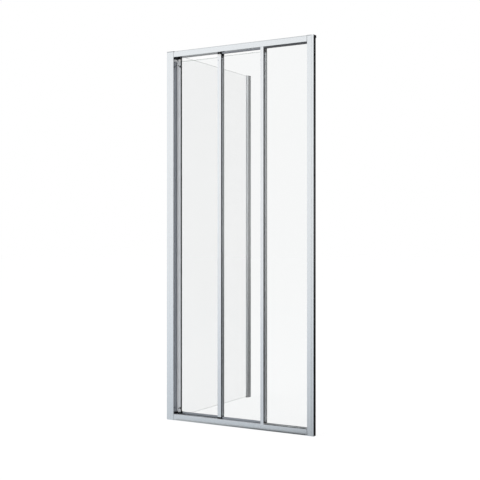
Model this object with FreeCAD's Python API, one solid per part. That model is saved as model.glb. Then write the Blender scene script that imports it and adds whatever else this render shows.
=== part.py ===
import FreeCAD, Part
import os

# A corner shower enclosure: a three-leaf sliding front, with a fixed side pane that returns to the wall.
# Lengths are in millimetres. Pieces are drawn from the outer front corner of the corner post, x along the
# front, y into the shower and z up, and are moved at the end so that the origin is under the middle.

# Outside sizes of the whole enclosure.
WIDTH = 820.0
DEPTH = 806.0
HEIGHT = 1850.0

# Clearances that several fits share.
RUNNING_CLEARANCE = 0.05
SLIDE_CLEARANCE = 0.3
FIT_CLEARANCE = 0.1
HOLE_CLEARANCE = 0.2

# Glass and the soft strips that hold it.
DOOR_GLASS = 4.0
SIDE_GLASS = 5.0
DOOR_GASKET = 1.6
SIDE_GASKET = 2.0
GASKET_FLOOR = 1.4
GLASS_CORNER = 1.5
GLASS_ARRIS = 0.4

# Corner post, a closed tube with a glass channel along its back.
POST_WIDTH = 42.0
POST_WALL = 1.8
POST_NOSE = 5.0
POST_EDGE = 1.0
POST_CHANNEL = 13.0
SIDE_GLASS_OFFSET = 20.0
CAP_THICKNESS = 2.0
POST_CAP = 4.0
CAP_PLUG = 12.0
CAP_PLUG_INSET = 9.0
CAP_PLUG_WALL = 1.6
CAP_EDGE = 0.6

# Rails, with one front channel for the fixed pane and two tracks behind it.
RAIL_HEIGHT = 29.5
RAIL_WALL = 1.6
TRACK_WIDTH = 13.4
TRACK_FLOOR = 13.4
LIP_WIDTH = 7.6
FRONT_LIP = 1.2
BEAD_WIDTH = 2.4
BEAD_HEIGHT = 1.6
PORT_RADIUS = 3.4
PORT_FOOT = 2.0
RAIL_EDGE = 0.6
TOP_RAIL_ROUND = 5.0
TOP_RAIL_CORNER = 4.0
BOTTOM_RAIL_ROUND = 3.0
END_GASKET = 1.2
INFILL_WALL = 1.2
INFILL_LEG = 9.0

# Wall side of the front: a profile screwed to the wall and a jamb that slides over it.
JAMB_WIDTH = 22.0
JAMB_WALL = 1.5
JAMB_EDGE = 0.8
JAMB_CHANNEL = 9.0
WALL_REVEAL = 11.7
WALL_LEG = 21.0
WALL_DEPTH = 19.4
WALL_FLANGE_DEPTH = 23.6
WALL_EDGE = 0.5
WALL_THICKNESS = 1.5
WALL_HOLE_RADIUS = 2.6
WALL_HOLE_END = 94.0
WALL_CAP = 4.0
WALL_CAP_TAB = 6.0
WALL_CAP_TAB_HEIGHT = 8.0
WALL_CAP_PLUG = 14.0

# Stiles, the upright edges of each leaf.
STILE_WIDTH = 19.0
FIXED_STILE_WIDTH = 17.4
STILE_WALL = 1.4
STILE_GROOVE = 8.6
STILE_NOSE = 2.0
STILE_EDGE = 0.8
STILE_SIDE_GAP = 0.7
STILE_LAP = 5.0
LEAD_STILE_TOP = 38.0
LEAD_STILE_FOOT = 37.0
TRAIL_STILE_TOP = 55.0
TRAIL_STILE_FOOT = 42.0
FIXED_STILE_GAP = 0.6
SIGHT_LINE_WIDTH = 0.8
SIGHT_LINE_DEPTH = 0.4

# Glass edges of the leaves.
SLIDING_GLASS_TOP = 47.0
SLIDING_GLASS_FOOT = 34.0
FIXED_GLASS_BITE = 10.0
FIXED_GLASS_SEAT = 4.0
TOP_BEAD_SHOW = 9.0
BOTTOM_BEAD_SHOW = 3.5
BEAD_LIP = 2.0
BEAD_SHOULDER = 3.0

# Seals of the sliding leaves.
MAGNET_THICKNESS = 2.0
MAGNET_WIDTH = 10.0
MAGNET_END = 12.0
MAGNET_EDGE = 0.6
DRIP_WALL = 1.2
DRIP_TOP = 40.0
DRIP_FOOT_GAP = 1.3
DRIP_LIP = 0.7
DRIP_FIN = 1.8
DRIP_FIN_TIP = 0.7
DRIP_FIN_FOOT = 22.0
PILE_WIDTH = 4.0
PILE_TUFT_WIDTH = 2.8
PILE_SEAT = 0.5
PILE_GAP = 0.4

# Roller brackets and rollers.
ROLLER_WIDTH = 5.0
ROLLER_GAP = 0.3
TOP_ROLLER_RADIUS = 6.4
BOTTOM_ROLLER_RADIUS = 4.6
ROLLER_GROOVE_GAP = 0.6
ROLLER_RECESS = 0.7
ROLLER_HUB = 1.6
TOP_PIN_RADIUS = 2.0
BOTTOM_PIN_RADIUS = 1.5
PIN_RETAINER = 0.6
PIN_RETAINER_LIP = 1.0
BRACKET_INSET = 0.4
BRACKET_SIDE_GAP = 0.5
BRACKET_TONGUE = 50.0
BRACKET_BOSS = 1.0
BRACKET_EDGE = 0.5
BRACKET_LEAD_IN = 1.0
STEM_ROUND = 3.4
CHEEK_ROUND = 3.0
STEM_GAP = 0.7
STEM_RISE = 4.5
CHEEK_GAP = 0.4
CHEEK_THICKNESS = 2.0
CHEEK_DROP = 3.5

# Side pane and its wall fixing.
SIDE_PROFILE_DROP = 5.0
SIDE_GLASS_FOOT = 4.0
GLAZING_WIDTH = 18.8
GLAZING_WALL = 1.6
GLAZING_NOSE = 12.0
GLAZING_REACH = 34.0
GLAZING_SET_BACK = 1.5
GLAZING_CHANNEL = 14.0
GLAZING_BACK_GAP = 3.0
SIDE_WALL_PLAY = 1.4
SIDE_WALL_THICKNESS = 1.5

# Screws.
SCREW_RADIUS = 1.6
SCREW_HEAD_RADIUS = 3.2
SCREW_HEAD_HEIGHT = 2.0
SCREW_RIM_SHARE = 0.35
SCREW_CROWN_SHARE = 0.65
SCREW_SLOT = 0.8
SCREW_SLOT_DEPTH = 0.9
FRAME_SCREW_LENGTH = 22.0
LOCK_SCREW_LENGTH = 6.0
BRACKET_SCREW_RADIUS = 1.25
BRACKET_SCREW_HEAD = 2.4
BRACKET_SCREW_HEAD_HEIGHT = 1.2
BRACKET_SCREW_LENGTH = 7.0
BRACKET_SCREW_TOP = 30.0
BRACKET_SCREW_FOOT = 17.8
LOCK_SCREW_END = 300.0

# Stops.
BUFFER_THICKNESS = 6.0
BUFFER_HEIGHT = 12.0
BUFFER_NOSE = 2.0
BUFFER_EDGE = 0.4
POST_BUFFER_THICKNESS = 5.0
POST_BUFFER_HEIGHT = 9.0
POST_BUFFER_DEPTH = 20.0
POST_BUFFER_DROP = 1.5
BUFFER_CLIP_THICKNESS = 3.0
BUFFER_CLIP_HEIGHT = 11.0
BUFFER_CLIP_EDGE = 1.2

# Values that follow from the sizes above.
TRACK_PITCH = TRACK_WIDTH + RAIL_WALL
RAIL_DEPTH = 3 * TRACK_PITCH + RAIL_WALL
RAIL_UNDERSIDE = HEIGHT - RAIL_HEIGHT
BAY_MIDDLE_1 = RAIL_WALL + TRACK_WIDTH / 2
BAY_MIDDLE_2 = BAY_MIDDLE_1 + TRACK_PITCH
BAY_MIDDLE_3 = BAY_MIDDLE_2 + TRACK_PITCH
STILE_DEPTH = TRACK_WIDTH - 2 * STILE_SIDE_GAP
DOOR_GROOVE = DOOR_GLASS + 2 * DOOR_GASKET
SIDE_GROOVE = SIDE_GLASS + 2 * SIDE_GASKET
STILE_BITE = STILE_GROOVE - GASKET_FLOOR
JAMB_LEFT = WIDTH - WALL_REVEAL - JAMB_WIDTH
JAMB_RIGHT = WIDTH - WALL_REVEAL
BAY = (JAMB_LEFT - POST_WIDTH) / 3
INNER_LEAD = POST_WIDTH + 2 * MAGNET_THICKNESS + SLIDE_CLEARANCE
MIDDLE_LEAD = POST_WIDTH + BAY
FIXED_LEAD = POST_WIDTH + 2 * BAY
INNER_TRAIL = MIDDLE_LEAD + STILE_LAP
MIDDLE_TRAIL = FIXED_LEAD + STILE_LAP
RAIL_LEFT = POST_WIDTH + END_GASKET
RAIL_RIGHT = JAMB_LEFT - END_GASKET
POST_DEPTH = RAIL_DEPTH + POST_CHANNEL
WALL_FRONT = JAMB_WALL + HOLE_CLEARANCE
WALL_BACK = WALL_FRONT + WALL_DEPTH
WALL_MIDDLE = (WALL_FRONT + WALL_BACK) / 2
JAMB_POCKET_BACK = WALL_BACK + HOLE_CLEARANCE
TOP_PORT = HEIGHT - POST_CAP - SCREW_HEAD_RADIUS - SLIDE_CLEARANCE
BOTTOM_PORT = TRACK_FLOOR / 2
PORT_BORE = SCREW_RADIUS + FIT_CLEARANCE
SCREW_HOLE = SCREW_RADIUS + HOLE_CLEARANCE
FIXED_GLASS_TOP = RAIL_UNDERSIDE + FIXED_GLASS_BITE
FIXED_GLASS_FOOT = TRACK_FLOOR + FIXED_GLASS_SEAT
CHAMBER_WIDTH = STILE_WIDTH - STILE_GROOVE - 2 * STILE_WALL
CHAMBER_DEPTH = STILE_DEPTH - 2 * STILE_WALL
CHAMBER_MIDDLE = STILE_WALL + CHAMBER_WIDTH / 2
BRACKET_WIDTH = 2 * (CHAMBER_MIDDLE - BRACKET_INSET)
BRACKET_DEPTH = STILE_DEPTH - 2 * BRACKET_SIDE_GAP
BOTTOM_FLANGE_RADIUS = BOTTOM_ROLLER_RADIUS + BEAD_HEIGHT
TOP_ROLLER_Z = RAIL_UNDERSIDE + RAIL_WALL + BEAD_HEIGHT + ROLLER_GAP + TOP_ROLLER_RADIUS
BOTTOM_ROLLER_Z = TRACK_FLOOR + BEAD_HEIGHT + ROLLER_GAP + BOTTOM_ROLLER_RADIUS
TOP_ROLLER_SHIFT = TRACK_WIDTH / 2 - LIP_WIDTH / 2
SIDE_TOP = HEIGHT - SIDE_PROFILE_DROP
GLAZING_FRONT = DEPTH - GLAZING_REACH
GLAZING_BACK = DEPTH - GLAZING_BACK_GAP
GLAZING_POCKET = GLAZING_FRONT + GLAZING_CHANNEL + GLAZING_WALL
GLAZING_LEFT = SIDE_GLASS_OFFSET - SIDE_GROOVE / 2 - GLAZING_WALL
GLAZING_RIGHT = GLAZING_LEFT + GLAZING_WIDTH
GLAZING_MIDDLE = (GLAZING_LEFT + GLAZING_RIGHT) / 2
SIDE_WALL_LEFT = GLAZING_LEFT + GLAZING_WALL + HOLE_CLEARANCE
SIDE_WALL_RIGHT = GLAZING_RIGHT - GLAZING_WALL - HOLE_CLEARANCE
SIDE_WALL_FRONT = GLAZING_POCKET + SIDE_WALL_PLAY
SIDE_GLASS_TOP = SIDE_TOP - CAP_THICKNESS

X_AXIS = FreeCAD.Vector(1, 0, 0)
Y_AXIS = FreeCAD.Vector(0, 1, 0)
Z_AXIS = FreeCAD.Vector(0, 0, 1)
EDGE_REACH = 0.001


def point(x, y, z):
    return FreeCAD.Vector(x, y, z)


def outline_xy(corners):
    # A flat shape seen from above, from its corners in order.
    points = [point(x, y, 0) for x, y in corners + corners[:1]]
    return Part.Face(Part.makePolygon(points))


def outline_yz(corners):
    # A flat shape seen from the right-hand end, from its corners in order.
    points = [point(0, y, z) for y, z in corners + corners[:1]]
    return Part.Face(Part.makePolygon(points))


def rect_xy(x0, y0, x1, y1):
    return outline_xy([(x0, y0), (x1, y0), (x1, y1), (x0, y1)])


def rect_yz(y0, z0, y1, z1):
    return outline_yz([(y0, z0), (y1, z0), (y1, z1), (y0, z1)])


def disc_yz(y, z, radius):
    return Part.Face(Part.Wire([Part.makeCircle(radius, point(0, y, z), X_AXIS)]))


def rounded_xy(x0, y0, x1, y1, front_left, front_right, rear_right, rear_left):
    # A rectangle seen from above with its own radius at each corner, where none leaves it sharp.
    turns = [(point(x0, y0, 0), Y_AXIS, X_AXIS, front_left),
             (point(x1, y0, 0), -X_AXIS, Y_AXIS, front_right),
             (point(x1, y1, 0), -Y_AXIS, -X_AXIS, rear_right),
             (point(x0, y1, 0), X_AXIS, -Y_AXIS, rear_left)]
    edges = []
    last = point(x0, y1 - rear_left, 0)
    for corner, behind, ahead, radius in turns:
        start = corner + behind * radius
        end = corner + ahead * radius
        edges.append(Part.makeLine(last, start))
        if radius:
            middle = corner + (behind + ahead) * radius * (1 - 0.5 ** 0.5)
            edges.append(Part.Arc(start, middle, end).toShape())
        last = end
    return Part.Face(Part.Wire(edges))


def rounded_xz(x0, z0, x1, z1, low_left, low_right, high_right, high_left):
    # The same, seen from the front.
    face = rounded_xy(x0, z0, x1, z1, low_left, low_right, high_right, high_left)
    face.rotate(point(0, 0, 0), X_AXIS, 90)
    return face


def rounded_yz(y0, z0, y1, z1, low_front, low_back, high_back, high_front):
    # The same, seen from the right-hand end.
    face = rounded_xy(y0, z0, y1, z1, low_front, low_back, high_back, high_front)
    face.rotate(point(0, 0, 0), X_AXIS + Y_AXIS + Z_AXIS, 120)
    return face


def joined(faces):
    return faces[0].multiFuse(faces[1:]).removeSplitter()


def without(shape, cuts):
    return shape.cut(cuts)


def upright(section, z0, z1):
    # A section seen from above, drawn out from one height to another.
    bar = section.Faces[0].extrude(point(0, 0, z1 - z0))
    bar.translate(point(0, 0, z0))
    return bar


def lengthwise(section, x0, x1):
    # A section seen from the end, drawn out along the front.
    bar = section.Faces[0].extrude(point(x1 - x0, 0, 0))
    bar.translate(point(x0, 0, 0))
    return bar


def inward(section, y0, y1):
    # A section seen from the front, drawn out into the depth.
    bar = section.Faces[0].extrude(point(0, y1 - y0, 0))
    bar.translate(point(0, y0, 0))
    return bar


def block(x0, y0, z0, x1, y1, z1):
    return Part.makeBox(x1 - x0, y1 - y0, z1 - z0, point(x0, y0, z0))


def edges_in(shape, x=None, y=None, z=None):
    # The edges of a shape that lie in the plane or planes given.
    found = []
    for edge in shape.Edges:
        box = edge.BoundBox
        spans = [(x, box.XMin, box.XMax), (y, box.YMin, box.YMax), (z, box.ZMin, box.ZMax)]
        given = [span for span in spans if span[0] is not None]
        if all(place - EDGE_REACH < low and high < place + EDGE_REACH for place, low, high in given):
            found.append(edge)
    return found


def pane(width, height, thickness):
    # A sheet of glass that stands on edge, with small round corners and its sharp edges taken off.
    corner = GLASS_CORNER
    sheet = inward(rounded_xz(0, 0, width, height, corner, corner, corner, corner), 0, thickness)
    return sheet.makeChamfer(GLASS_ARRIS, edges_in(sheet, y=0) + edges_in(sheet, y=thickness))


def hollow_plug(x0, y0, z0, x1, y1, z1):
    # The thin-walled plug under a cap.
    inside = rect_xy(x0 + CAP_PLUG_WALL, y0 + CAP_PLUG_WALL, x1 - CAP_PLUG_WALL, y1 - CAP_PLUG_WALL)
    return upright(without(rect_xy(x0, y0, x1, y1), [inside]), z0, z1)


def cap_plate(outline, z0, z1):
    # A flat cap whose upper edges are bevelled.
    plate = upright(outline, z0, z1)
    return plate.makeChamfer(CAP_EDGE, edges_in(plate, z=z1))


def rod(start, axis, radius, length):
    return Part.makeCylinder(radius, length, start, axis)


def screw(seat, axis, radius, length, head_radius, head_height):
    # A slotted screw with a bevelled head that sits on the seat, and a shank along the axis.
    def at(across, along):
        return point(across, 0, along)

    rim = head_height * SCREW_RIM_SHARE
    crown = head_radius * SCREW_CROWN_SHARE
    corners = [at(0, -head_height), at(0, length), at(radius, length), at(radius, 0), at(head_radius, 0),
               at(head_radius, -rim), at(crown, -head_height)]
    outline = Part.Face(Part.makePolygon(corners + corners[:1]))
    body = outline.revolve(point(0, 0, 0), Z_AXIS, 360)
    slot = Part.makeBox(2 * head_radius, SCREW_SLOT, SCREW_SLOT_DEPTH,
                        point(-head_radius, -SCREW_SLOT / 2, -head_height))
    shape = body.cut(slot)
    shape.Placement = FreeCAD.Placement(seat, FreeCAD.Rotation(Z_AXIS, axis))
    return shape


def wall_hole_heights(top):
    pitch = (top - 2 * WALL_HOLE_END) / 3
    return [WALL_HOLE_END, WALL_HOLE_END + pitch, WALL_HOLE_END + 2 * pitch, WALL_HOLE_END + 3 * pitch]


def lock_screw_heights(top):
    return [LOCK_SCREW_END, top / 2, top - LOCK_SCREW_END]


def corner_post():
    x_left = SIDE_GLASS_OFFSET - SIDE_GROOVE / 2
    x_right = SIDE_GLASS_OFFSET + SIDE_GROOVE / 2
    outline = rounded_xy(0, 0, POST_WIDTH, POST_DEPTH, POST_NOSE, POST_EDGE, POST_EDGE, POST_NOSE)
    chamber = rect_xy(POST_WALL, POST_NOSE, POST_WIDTH - POST_WALL, RAIL_DEPTH - POST_WALL)
    front_chamber = rect_xy(POST_NOSE, POST_WALL, POST_WIDTH - POST_WALL, POST_NOSE)
    channel = rect_xy(x_left, RAIL_DEPTH, x_right, POST_DEPTH)
    rear_left = rect_xy(POST_WALL, RAIL_DEPTH, x_left - POST_WALL, POST_DEPTH - POST_NOSE)
    rear_right = rect_xy(x_right + POST_WALL, RAIL_DEPTH, POST_WIDTH - POST_WALL, POST_DEPTH - POST_WALL)
    hollow = joined([chamber, front_chamber])
    section = without(outline, [hollow, channel, rear_left, rear_right])
    post = upright(section, 0, HEIGHT - POST_CAP)
    holes = []
    for y in (BAY_MIDDLE_1, BAY_MIDDLE_3):
        for z in (BOTTOM_PORT, TOP_PORT):
            holes.append(rod(point(POST_WIDTH - 2 * POST_WALL, y, z), X_AXIS, SCREW_HOLE, 3 * POST_WALL))
    return without(post, holes)


def corner_post_cap():
    outline = rounded_xy(0, 0, POST_WIDTH, POST_DEPTH, POST_NOSE, POST_EDGE, POST_EDGE, POST_NOSE)
    under = HEIGHT - POST_CAP
    plate = cap_plate(outline, under, HEIGHT)
    plug = hollow_plug(POST_NOSE + FIT_CLEARANCE, POST_NOSE + FIT_CLEARANCE, under - CAP_PLUG,
                       POST_WIDTH - POST_WALL - CAP_PLUG_INSET, RAIL_DEPTH - POST_WALL - FIT_CLEARANCE,
                       under)
    return plate.fuse(plug).removeSplitter()


def wall_profile():
    # A channel that reaches into the jamb, with a wider foot on the wall, flush with the jamb's face.
    # The front wall of the foot stands higher than the rest and hides the cap.
    seam = JAMB_RIGHT + HOLE_CLEARANCE
    edge = WALL_EDGE
    legs = rect_xy(WIDTH - WALL_LEG, WALL_FRONT, WIDTH, WALL_BACK)
    foot = rounded_xy(seam, 0, WIDTH, WALL_FLANGE_DEPTH, edge, edge, edge, edge)
    inside = rect_xy(WIDTH - WALL_LEG, WALL_FRONT + WALL_THICKNESS, WIDTH - WALL_THICKNESS,
                     WALL_BACK - WALL_THICKNESS)
    inside_foot = rect_xy(seam + WALL_THICKNESS, WALL_THICKNESS, WIDTH - WALL_THICKNESS,
                          WALL_FLANGE_DEPTH - WALL_THICKNESS)
    section = without(joined([legs, foot]), [inside, inside_foot])
    lip = rounded_xy(seam, 0, WIDTH, WALL_THICKNESS, edge, edge, 0, 0)
    profile = upright(section, 0, HEIGHT - WALL_CAP)
    profile = profile.fuse(upright(lip, HEIGHT - WALL_CAP, HEIGHT)).removeSplitter()
    holes = []
    for z in wall_hole_heights(HEIGHT):
        start = point(WIDTH - 2 * WALL_THICKNESS, WALL_MIDDLE, z)
        holes.append(rod(start, X_AXIS, WALL_HOLE_RADIUS, 3 * WALL_THICKNESS))
    for z in lock_screw_heights(HEIGHT):
        start = point((WIDTH - WALL_LEG + JAMB_RIGHT) / 2, WALL_BACK - 2 * WALL_THICKNESS, z)
        holes.append(rod(start, Y_AXIS, SCREW_HOLE, 3 * WALL_THICKNESS))
    return without(profile, holes)


def wall_profile_cap():
    # A plate behind the profile's front wall that turns down at the back, with a plug in the channel.
    left = JAMB_RIGHT + HOLE_CLEARANCE
    back = WALL_FLANGE_DEPTH + WALL_CAP_TAB
    under = HEIGHT - WALL_CAP
    foot = under - WALL_CAP_TAB_HEIGHT
    corners = [(WALL_THICKNESS, under), (WALL_FLANGE_DEPTH, under), (WALL_FLANGE_DEPTH, foot), (back, foot),
               (back, HEIGHT), (WALL_THICKNESS, HEIGHT)]
    cover = lengthwise(outline_yz(corners), left, WIDTH)
    cover = cover.makeChamfer(CAP_EDGE, edges_in(cover, z=HEIGHT))
    inset = WALL_THICKNESS + FIT_CLEARANCE
    plug = hollow_plug(left, WALL_FRONT + inset, under - WALL_CAP_PLUG, WIDTH - inset, WALL_BACK - inset,
                       under)
    return cover.fuse(plug).removeSplitter()


def jamb_outline():
    return rounded_xy(JAMB_LEFT, 0, JAMB_RIGHT, RAIL_DEPTH, JAMB_EDGE, JAMB_EDGE, JAMB_EDGE, JAMB_EDGE)


def fixed_jamb():
    web = JAMB_LEFT + JAMB_CHANNEL + JAMB_WALL
    groove_front = BAY_MIDDLE_1 - DOOR_GROOVE / 2
    groove_back = BAY_MIDDLE_1 + DOOR_GROOVE / 2
    outline = jamb_outline()
    channel = rect_xy(JAMB_LEFT, groove_front, JAMB_LEFT + JAMB_CHANNEL, groove_back)
    hollow = rect_xy(JAMB_LEFT + JAMB_WALL, groove_back + JAMB_WALL, JAMB_LEFT + JAMB_CHANNEL,
                     JAMB_POCKET_BACK)
    pocket = rect_xy(web, JAMB_WALL, JAMB_RIGHT, JAMB_POCKET_BACK)
    rear_pocket = rect_xy(JAMB_LEFT + JAMB_WALL, JAMB_POCKET_BACK + JAMB_WALL, JAMB_RIGHT,
                          RAIL_DEPTH - JAMB_WALL)
    jamb = upright(without(outline, [channel, hollow, pocket, rear_pocket]), 0, HEIGHT - WALL_CAP)
    holes = []
    for z in (BOTTOM_PORT, TOP_PORT):
        start = point(JAMB_LEFT + JAMB_CHANNEL - JAMB_WALL, BAY_MIDDLE_1, z)
        holes.append(rod(start, X_AXIS, SCREW_HOLE, 3 * JAMB_WALL))
        start = point(JAMB_LEFT - JAMB_WALL, BAY_MIDDLE_3, z)
        holes.append(rod(start, X_AXIS, SCREW_HOLE, 3 * JAMB_WALL))
    for z in lock_screw_heights(HEIGHT):
        start = point((WIDTH - WALL_LEG + JAMB_RIGHT) / 2, JAMB_POCKET_BACK - JAMB_WALL, z)
        holes.append(rod(start, Y_AXIS, SCREW_HOLE, 3 * JAMB_WALL))
    return without(jamb, holes)


def fixed_jamb_cap():
    plate = cap_plate(jamb_outline(), HEIGHT - WALL_CAP, HEIGHT)
    plug = hollow_plug(JAMB_LEFT + JAMB_WALL + CAP_PLUG_INSET, JAMB_POCKET_BACK + JAMB_WALL + FIT_CLEARANCE,
                       HEIGHT - WALL_CAP - CAP_PLUG, JAMB_RIGHT - JAMB_WALL,
                       RAIL_DEPTH - JAMB_WALL - FIT_CLEARANCE, HEIGHT - WALL_CAP)
    return plate.fuse(plug).removeSplitter()


def jamb_lock_screws():
    screws = []
    for z in lock_screw_heights(HEIGHT):
        seat = point((WIDTH - WALL_LEG + JAMB_RIGHT) / 2, JAMB_POCKET_BACK + JAMB_WALL, z)
        screws.append(screw(seat, -Y_AXIS, SCREW_RADIUS, LOCK_SCREW_LENGTH, SCREW_HEAD_RADIUS,
                            SCREW_HEAD_HEIGHT))
    return screws


def bead(y, z):
    # The rounded ridge that the rollers run on.
    radius = BEAD_WIDTH / 2
    foot = rect_yz(y - radius, z, y + radius, z + BEAD_HEIGHT - radius)
    crown = disc_yz(y, z + BEAD_HEIGHT - radius, radius)
    return [foot, crown]


def top_rail():
    pieces = [rect_yz(0, HEIGHT - RAIL_WALL, RAIL_DEPTH, HEIGHT)]
    pieces.append(rect_yz(0, HEIGHT - TOP_RAIL_CORNER, TOP_RAIL_CORNER, HEIGHT))
    for wall in (0, 1, 2, 3):
        y = wall * TRACK_PITCH
        pieces.append(rect_yz(y, RAIL_UNDERSIDE, y + RAIL_WALL, HEIGHT))
    for middle in (BAY_MIDDLE_2, BAY_MIDDLE_3):
        front = middle - TRACK_WIDTH / 2
        back = middle + TRACK_WIDTH / 2
        lip_top = RAIL_UNDERSIDE + RAIL_WALL
        pieces.append(rect_yz(back - LIP_WIDTH, RAIL_UNDERSIDE, back, lip_top))
        pieces.append(rect_yz(front, RAIL_UNDERSIDE, front + FRONT_LIP, lip_top))
        pieces.extend(bead(middle + TOP_ROLLER_SHIFT, lip_top))
    for middle in (BAY_MIDDLE_1, BAY_MIDDLE_3):
        pieces.append(disc_yz(middle, TOP_PORT, PORT_RADIUS))
        pieces.append(rect_yz(middle - PORT_FOOT / 2, TOP_PORT, middle + PORT_FOOT / 2, HEIGHT))
    bores = [disc_yz(middle, TOP_PORT, PORT_BORE) for middle in (BAY_MIDDLE_1, BAY_MIDDLE_3)]
    rail = lengthwise(without(joined(pieces), bores), RAIL_LEFT, RAIL_RIGHT)
    rail = rail.makeFillet(TOP_RAIL_ROUND, edges_in(rail, y=0, z=HEIGHT))
    return rail.makeFillet(RAIL_EDGE, edges_in(rail, y=0, z=RAIL_UNDERSIDE))


def bottom_rail():
    pieces = [rect_yz(0, 0, RAIL_DEPTH, RAIL_WALL)]
    pieces.append(rect_yz(0, TRACK_FLOOR - RAIL_WALL, RAIL_DEPTH, TRACK_FLOOR))
    pieces.append(rect_yz(0, 0, RAIL_WALL, RAIL_HEIGHT))
    pieces.append(rect_yz(3 * TRACK_PITCH, 0, RAIL_DEPTH, RAIL_HEIGHT))
    for wall in (1, 2):
        y = wall * TRACK_PITCH
        pieces.append(rect_yz(y, TRACK_FLOOR - RAIL_WALL, y + RAIL_WALL, RAIL_HEIGHT))
    for middle in (BAY_MIDDLE_2, BAY_MIDDLE_3):
        pieces.extend(bead(middle, TRACK_FLOOR))
    for middle in (BAY_MIDDLE_1, BAY_MIDDLE_3):
        pieces.append(disc_yz(middle, BOTTOM_PORT, PORT_RADIUS))
        pieces.append(rect_yz(middle - PORT_FOOT / 2, 0, middle + PORT_FOOT / 2, BOTTOM_PORT))
    bores = [disc_yz(middle, BOTTOM_PORT, PORT_BORE) for middle in (BAY_MIDDLE_1, BAY_MIDDLE_3)]
    rail = lengthwise(without(joined(pieces), bores), RAIL_LEFT, RAIL_RIGHT)
    rail = rail.makeFillet(BOTTOM_RAIL_ROUND, edges_in(rail, y=0, z=0))
    return rail.makeFillet(RAIL_EDGE, edges_in(rail, y=0, z=RAIL_HEIGHT))


def rail_end_gaskets():
    # Thin plates with the rails' outlines, notched on the right for the strip in the jamb.
    plates = []
    low_outline = rounded_yz(0, 0, RAIL_DEPTH, RAIL_HEIGHT, BOTTOM_RAIL_ROUND, 0, 0, RAIL_EDGE)
    high_outline = rounded_yz(0, RAIL_UNDERSIDE, RAIL_DEPTH, HEIGHT, RAIL_EDGE, 0, 0, TOP_RAIL_ROUND)
    notch_low = TRACK_FLOOR
    notch_high = RAIL_UNDERSIDE + FIXED_GLASS_BITE + BEAD_LIP
    for x in (POST_WIDTH, RAIL_RIGHT):
        bottom = lengthwise(low_outline, x, x + END_GASKET)
        top = lengthwise(high_outline, x, x + END_GASKET)
        holes = []
        for y in (BAY_MIDDLE_1, BAY_MIDDLE_3):
            for z in (BOTTOM_PORT, TOP_PORT):
                holes.append(rod(point(x - END_GASKET, y, z), X_AXIS, SCREW_HOLE, 3 * END_GASKET))
        if x == RAIL_RIGHT:
            groove_front = BAY_MIDDLE_1 - DOOR_GROOVE / 2
            groove_back = BAY_MIDDLE_1 + DOOR_GROOVE / 2
            holes.append(block(x, groove_front, notch_low, x + END_GASKET, groove_back, RAIL_HEIGHT))
            holes.append(block(x, groove_front, RAIL_UNDERSIDE, x + END_GASKET, groove_back, notch_high))
        plates.append(without(bottom, holes))
        plates.append(without(top, holes))
    return plates


def frame_screws():
    screws = []
    for z in (BOTTOM_PORT, TOP_PORT):
        seats = []
        for y in (BAY_MIDDLE_1, BAY_MIDDLE_3):
            seats.append((point(POST_WIDTH - POST_WALL, y, z), X_AXIS))
        seats.append((point(JAMB_LEFT + JAMB_CHANNEL + JAMB_WALL, BAY_MIDDLE_1, z), -X_AXIS))
        seats.append((point(JAMB_LEFT + JAMB_WALL, BAY_MIDDLE_3, z), -X_AXIS))
        for seat, axis in seats:
            screws.append(screw(seat, axis, SCREW_RADIUS, FRAME_SCREW_LENGTH, SCREW_HEAD_RADIUS,
                                SCREW_HEAD_HEIGHT))
    return screws


def top_infill():
    low = RAIL_UNDERSIDE
    plate = rect_yz(RAIL_WALL, low, TRACK_PITCH, low + INFILL_WALL)
    front = rect_yz(RAIL_WALL, low, RAIL_WALL + INFILL_WALL, low + INFILL_LEG)
    back = rect_yz(TRACK_PITCH - INFILL_WALL, low, TRACK_PITCH, low + INFILL_LEG)
    return lengthwise(joined([plate, front, back]), RAIL_LEFT, FIXED_LEAD)


def bottom_infill():
    high = RAIL_HEIGHT
    plate = rect_yz(RAIL_WALL, high - INFILL_WALL, TRACK_PITCH, high)
    front = rect_yz(RAIL_WALL, TRACK_FLOOR, RAIL_WALL + INFILL_WALL, high)
    back = rect_yz(TRACK_PITCH - INFILL_WALL, TRACK_FLOOR, TRACK_PITCH, high)
    return lengthwise(joined([plate, front, back]), RAIL_LEFT, FIXED_LEAD)


def lead_section(x, middle, width):
    # A left-hand stile: tube on the left, glass groove on the right, and a fine line down its face.
    front = middle - STILE_DEPTH / 2
    back = middle + STILE_DEPTH / 2
    right = x + width
    groove_left = right - STILE_GROOVE
    line = groove_left - STILE_WALL / 2
    outline = rounded_xy(x, front, right, back, STILE_NOSE, STILE_EDGE, STILE_EDGE, STILE_EDGE)
    chamber = rect_xy(x + STILE_WALL, front + STILE_WALL, groove_left - STILE_WALL, back - STILE_WALL)
    groove = rect_xy(groove_left, middle - DOOR_GROOVE / 2, right, middle + DOOR_GROOVE / 2)
    sight = rect_xy(line - SIGHT_LINE_WIDTH / 2, front, line + SIGHT_LINE_WIDTH / 2,
                    front + SIGHT_LINE_DEPTH)
    return without(outline, [chamber, groove, sight])


def trail_section(x, middle):
    # A right-hand stile: glass groove on the left, tube on the right, and a seat for the pile on its face.
    front = middle - STILE_DEPTH / 2
    back = middle + STILE_DEPTH / 2
    right = x + STILE_WIDTH
    pile = x + STILE_GROOVE / 2
    outline = rounded_xy(x, front, right, back, STILE_EDGE, STILE_NOSE, STILE_EDGE, STILE_EDGE)
    chamber = rect_xy(right - STILE_WALL - CHAMBER_WIDTH, front + STILE_WALL, right - STILE_WALL,
                      back - STILE_WALL)
    groove = rect_xy(x, middle - DOOR_GROOVE / 2, x + STILE_GROOVE, middle + DOOR_GROOVE / 2)
    seat = rect_xy(pile - PILE_WIDTH / 2, front, pile + PILE_WIDTH / 2, front + PILE_SEAT)
    return without(outline, [chamber, groove, seat])


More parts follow.
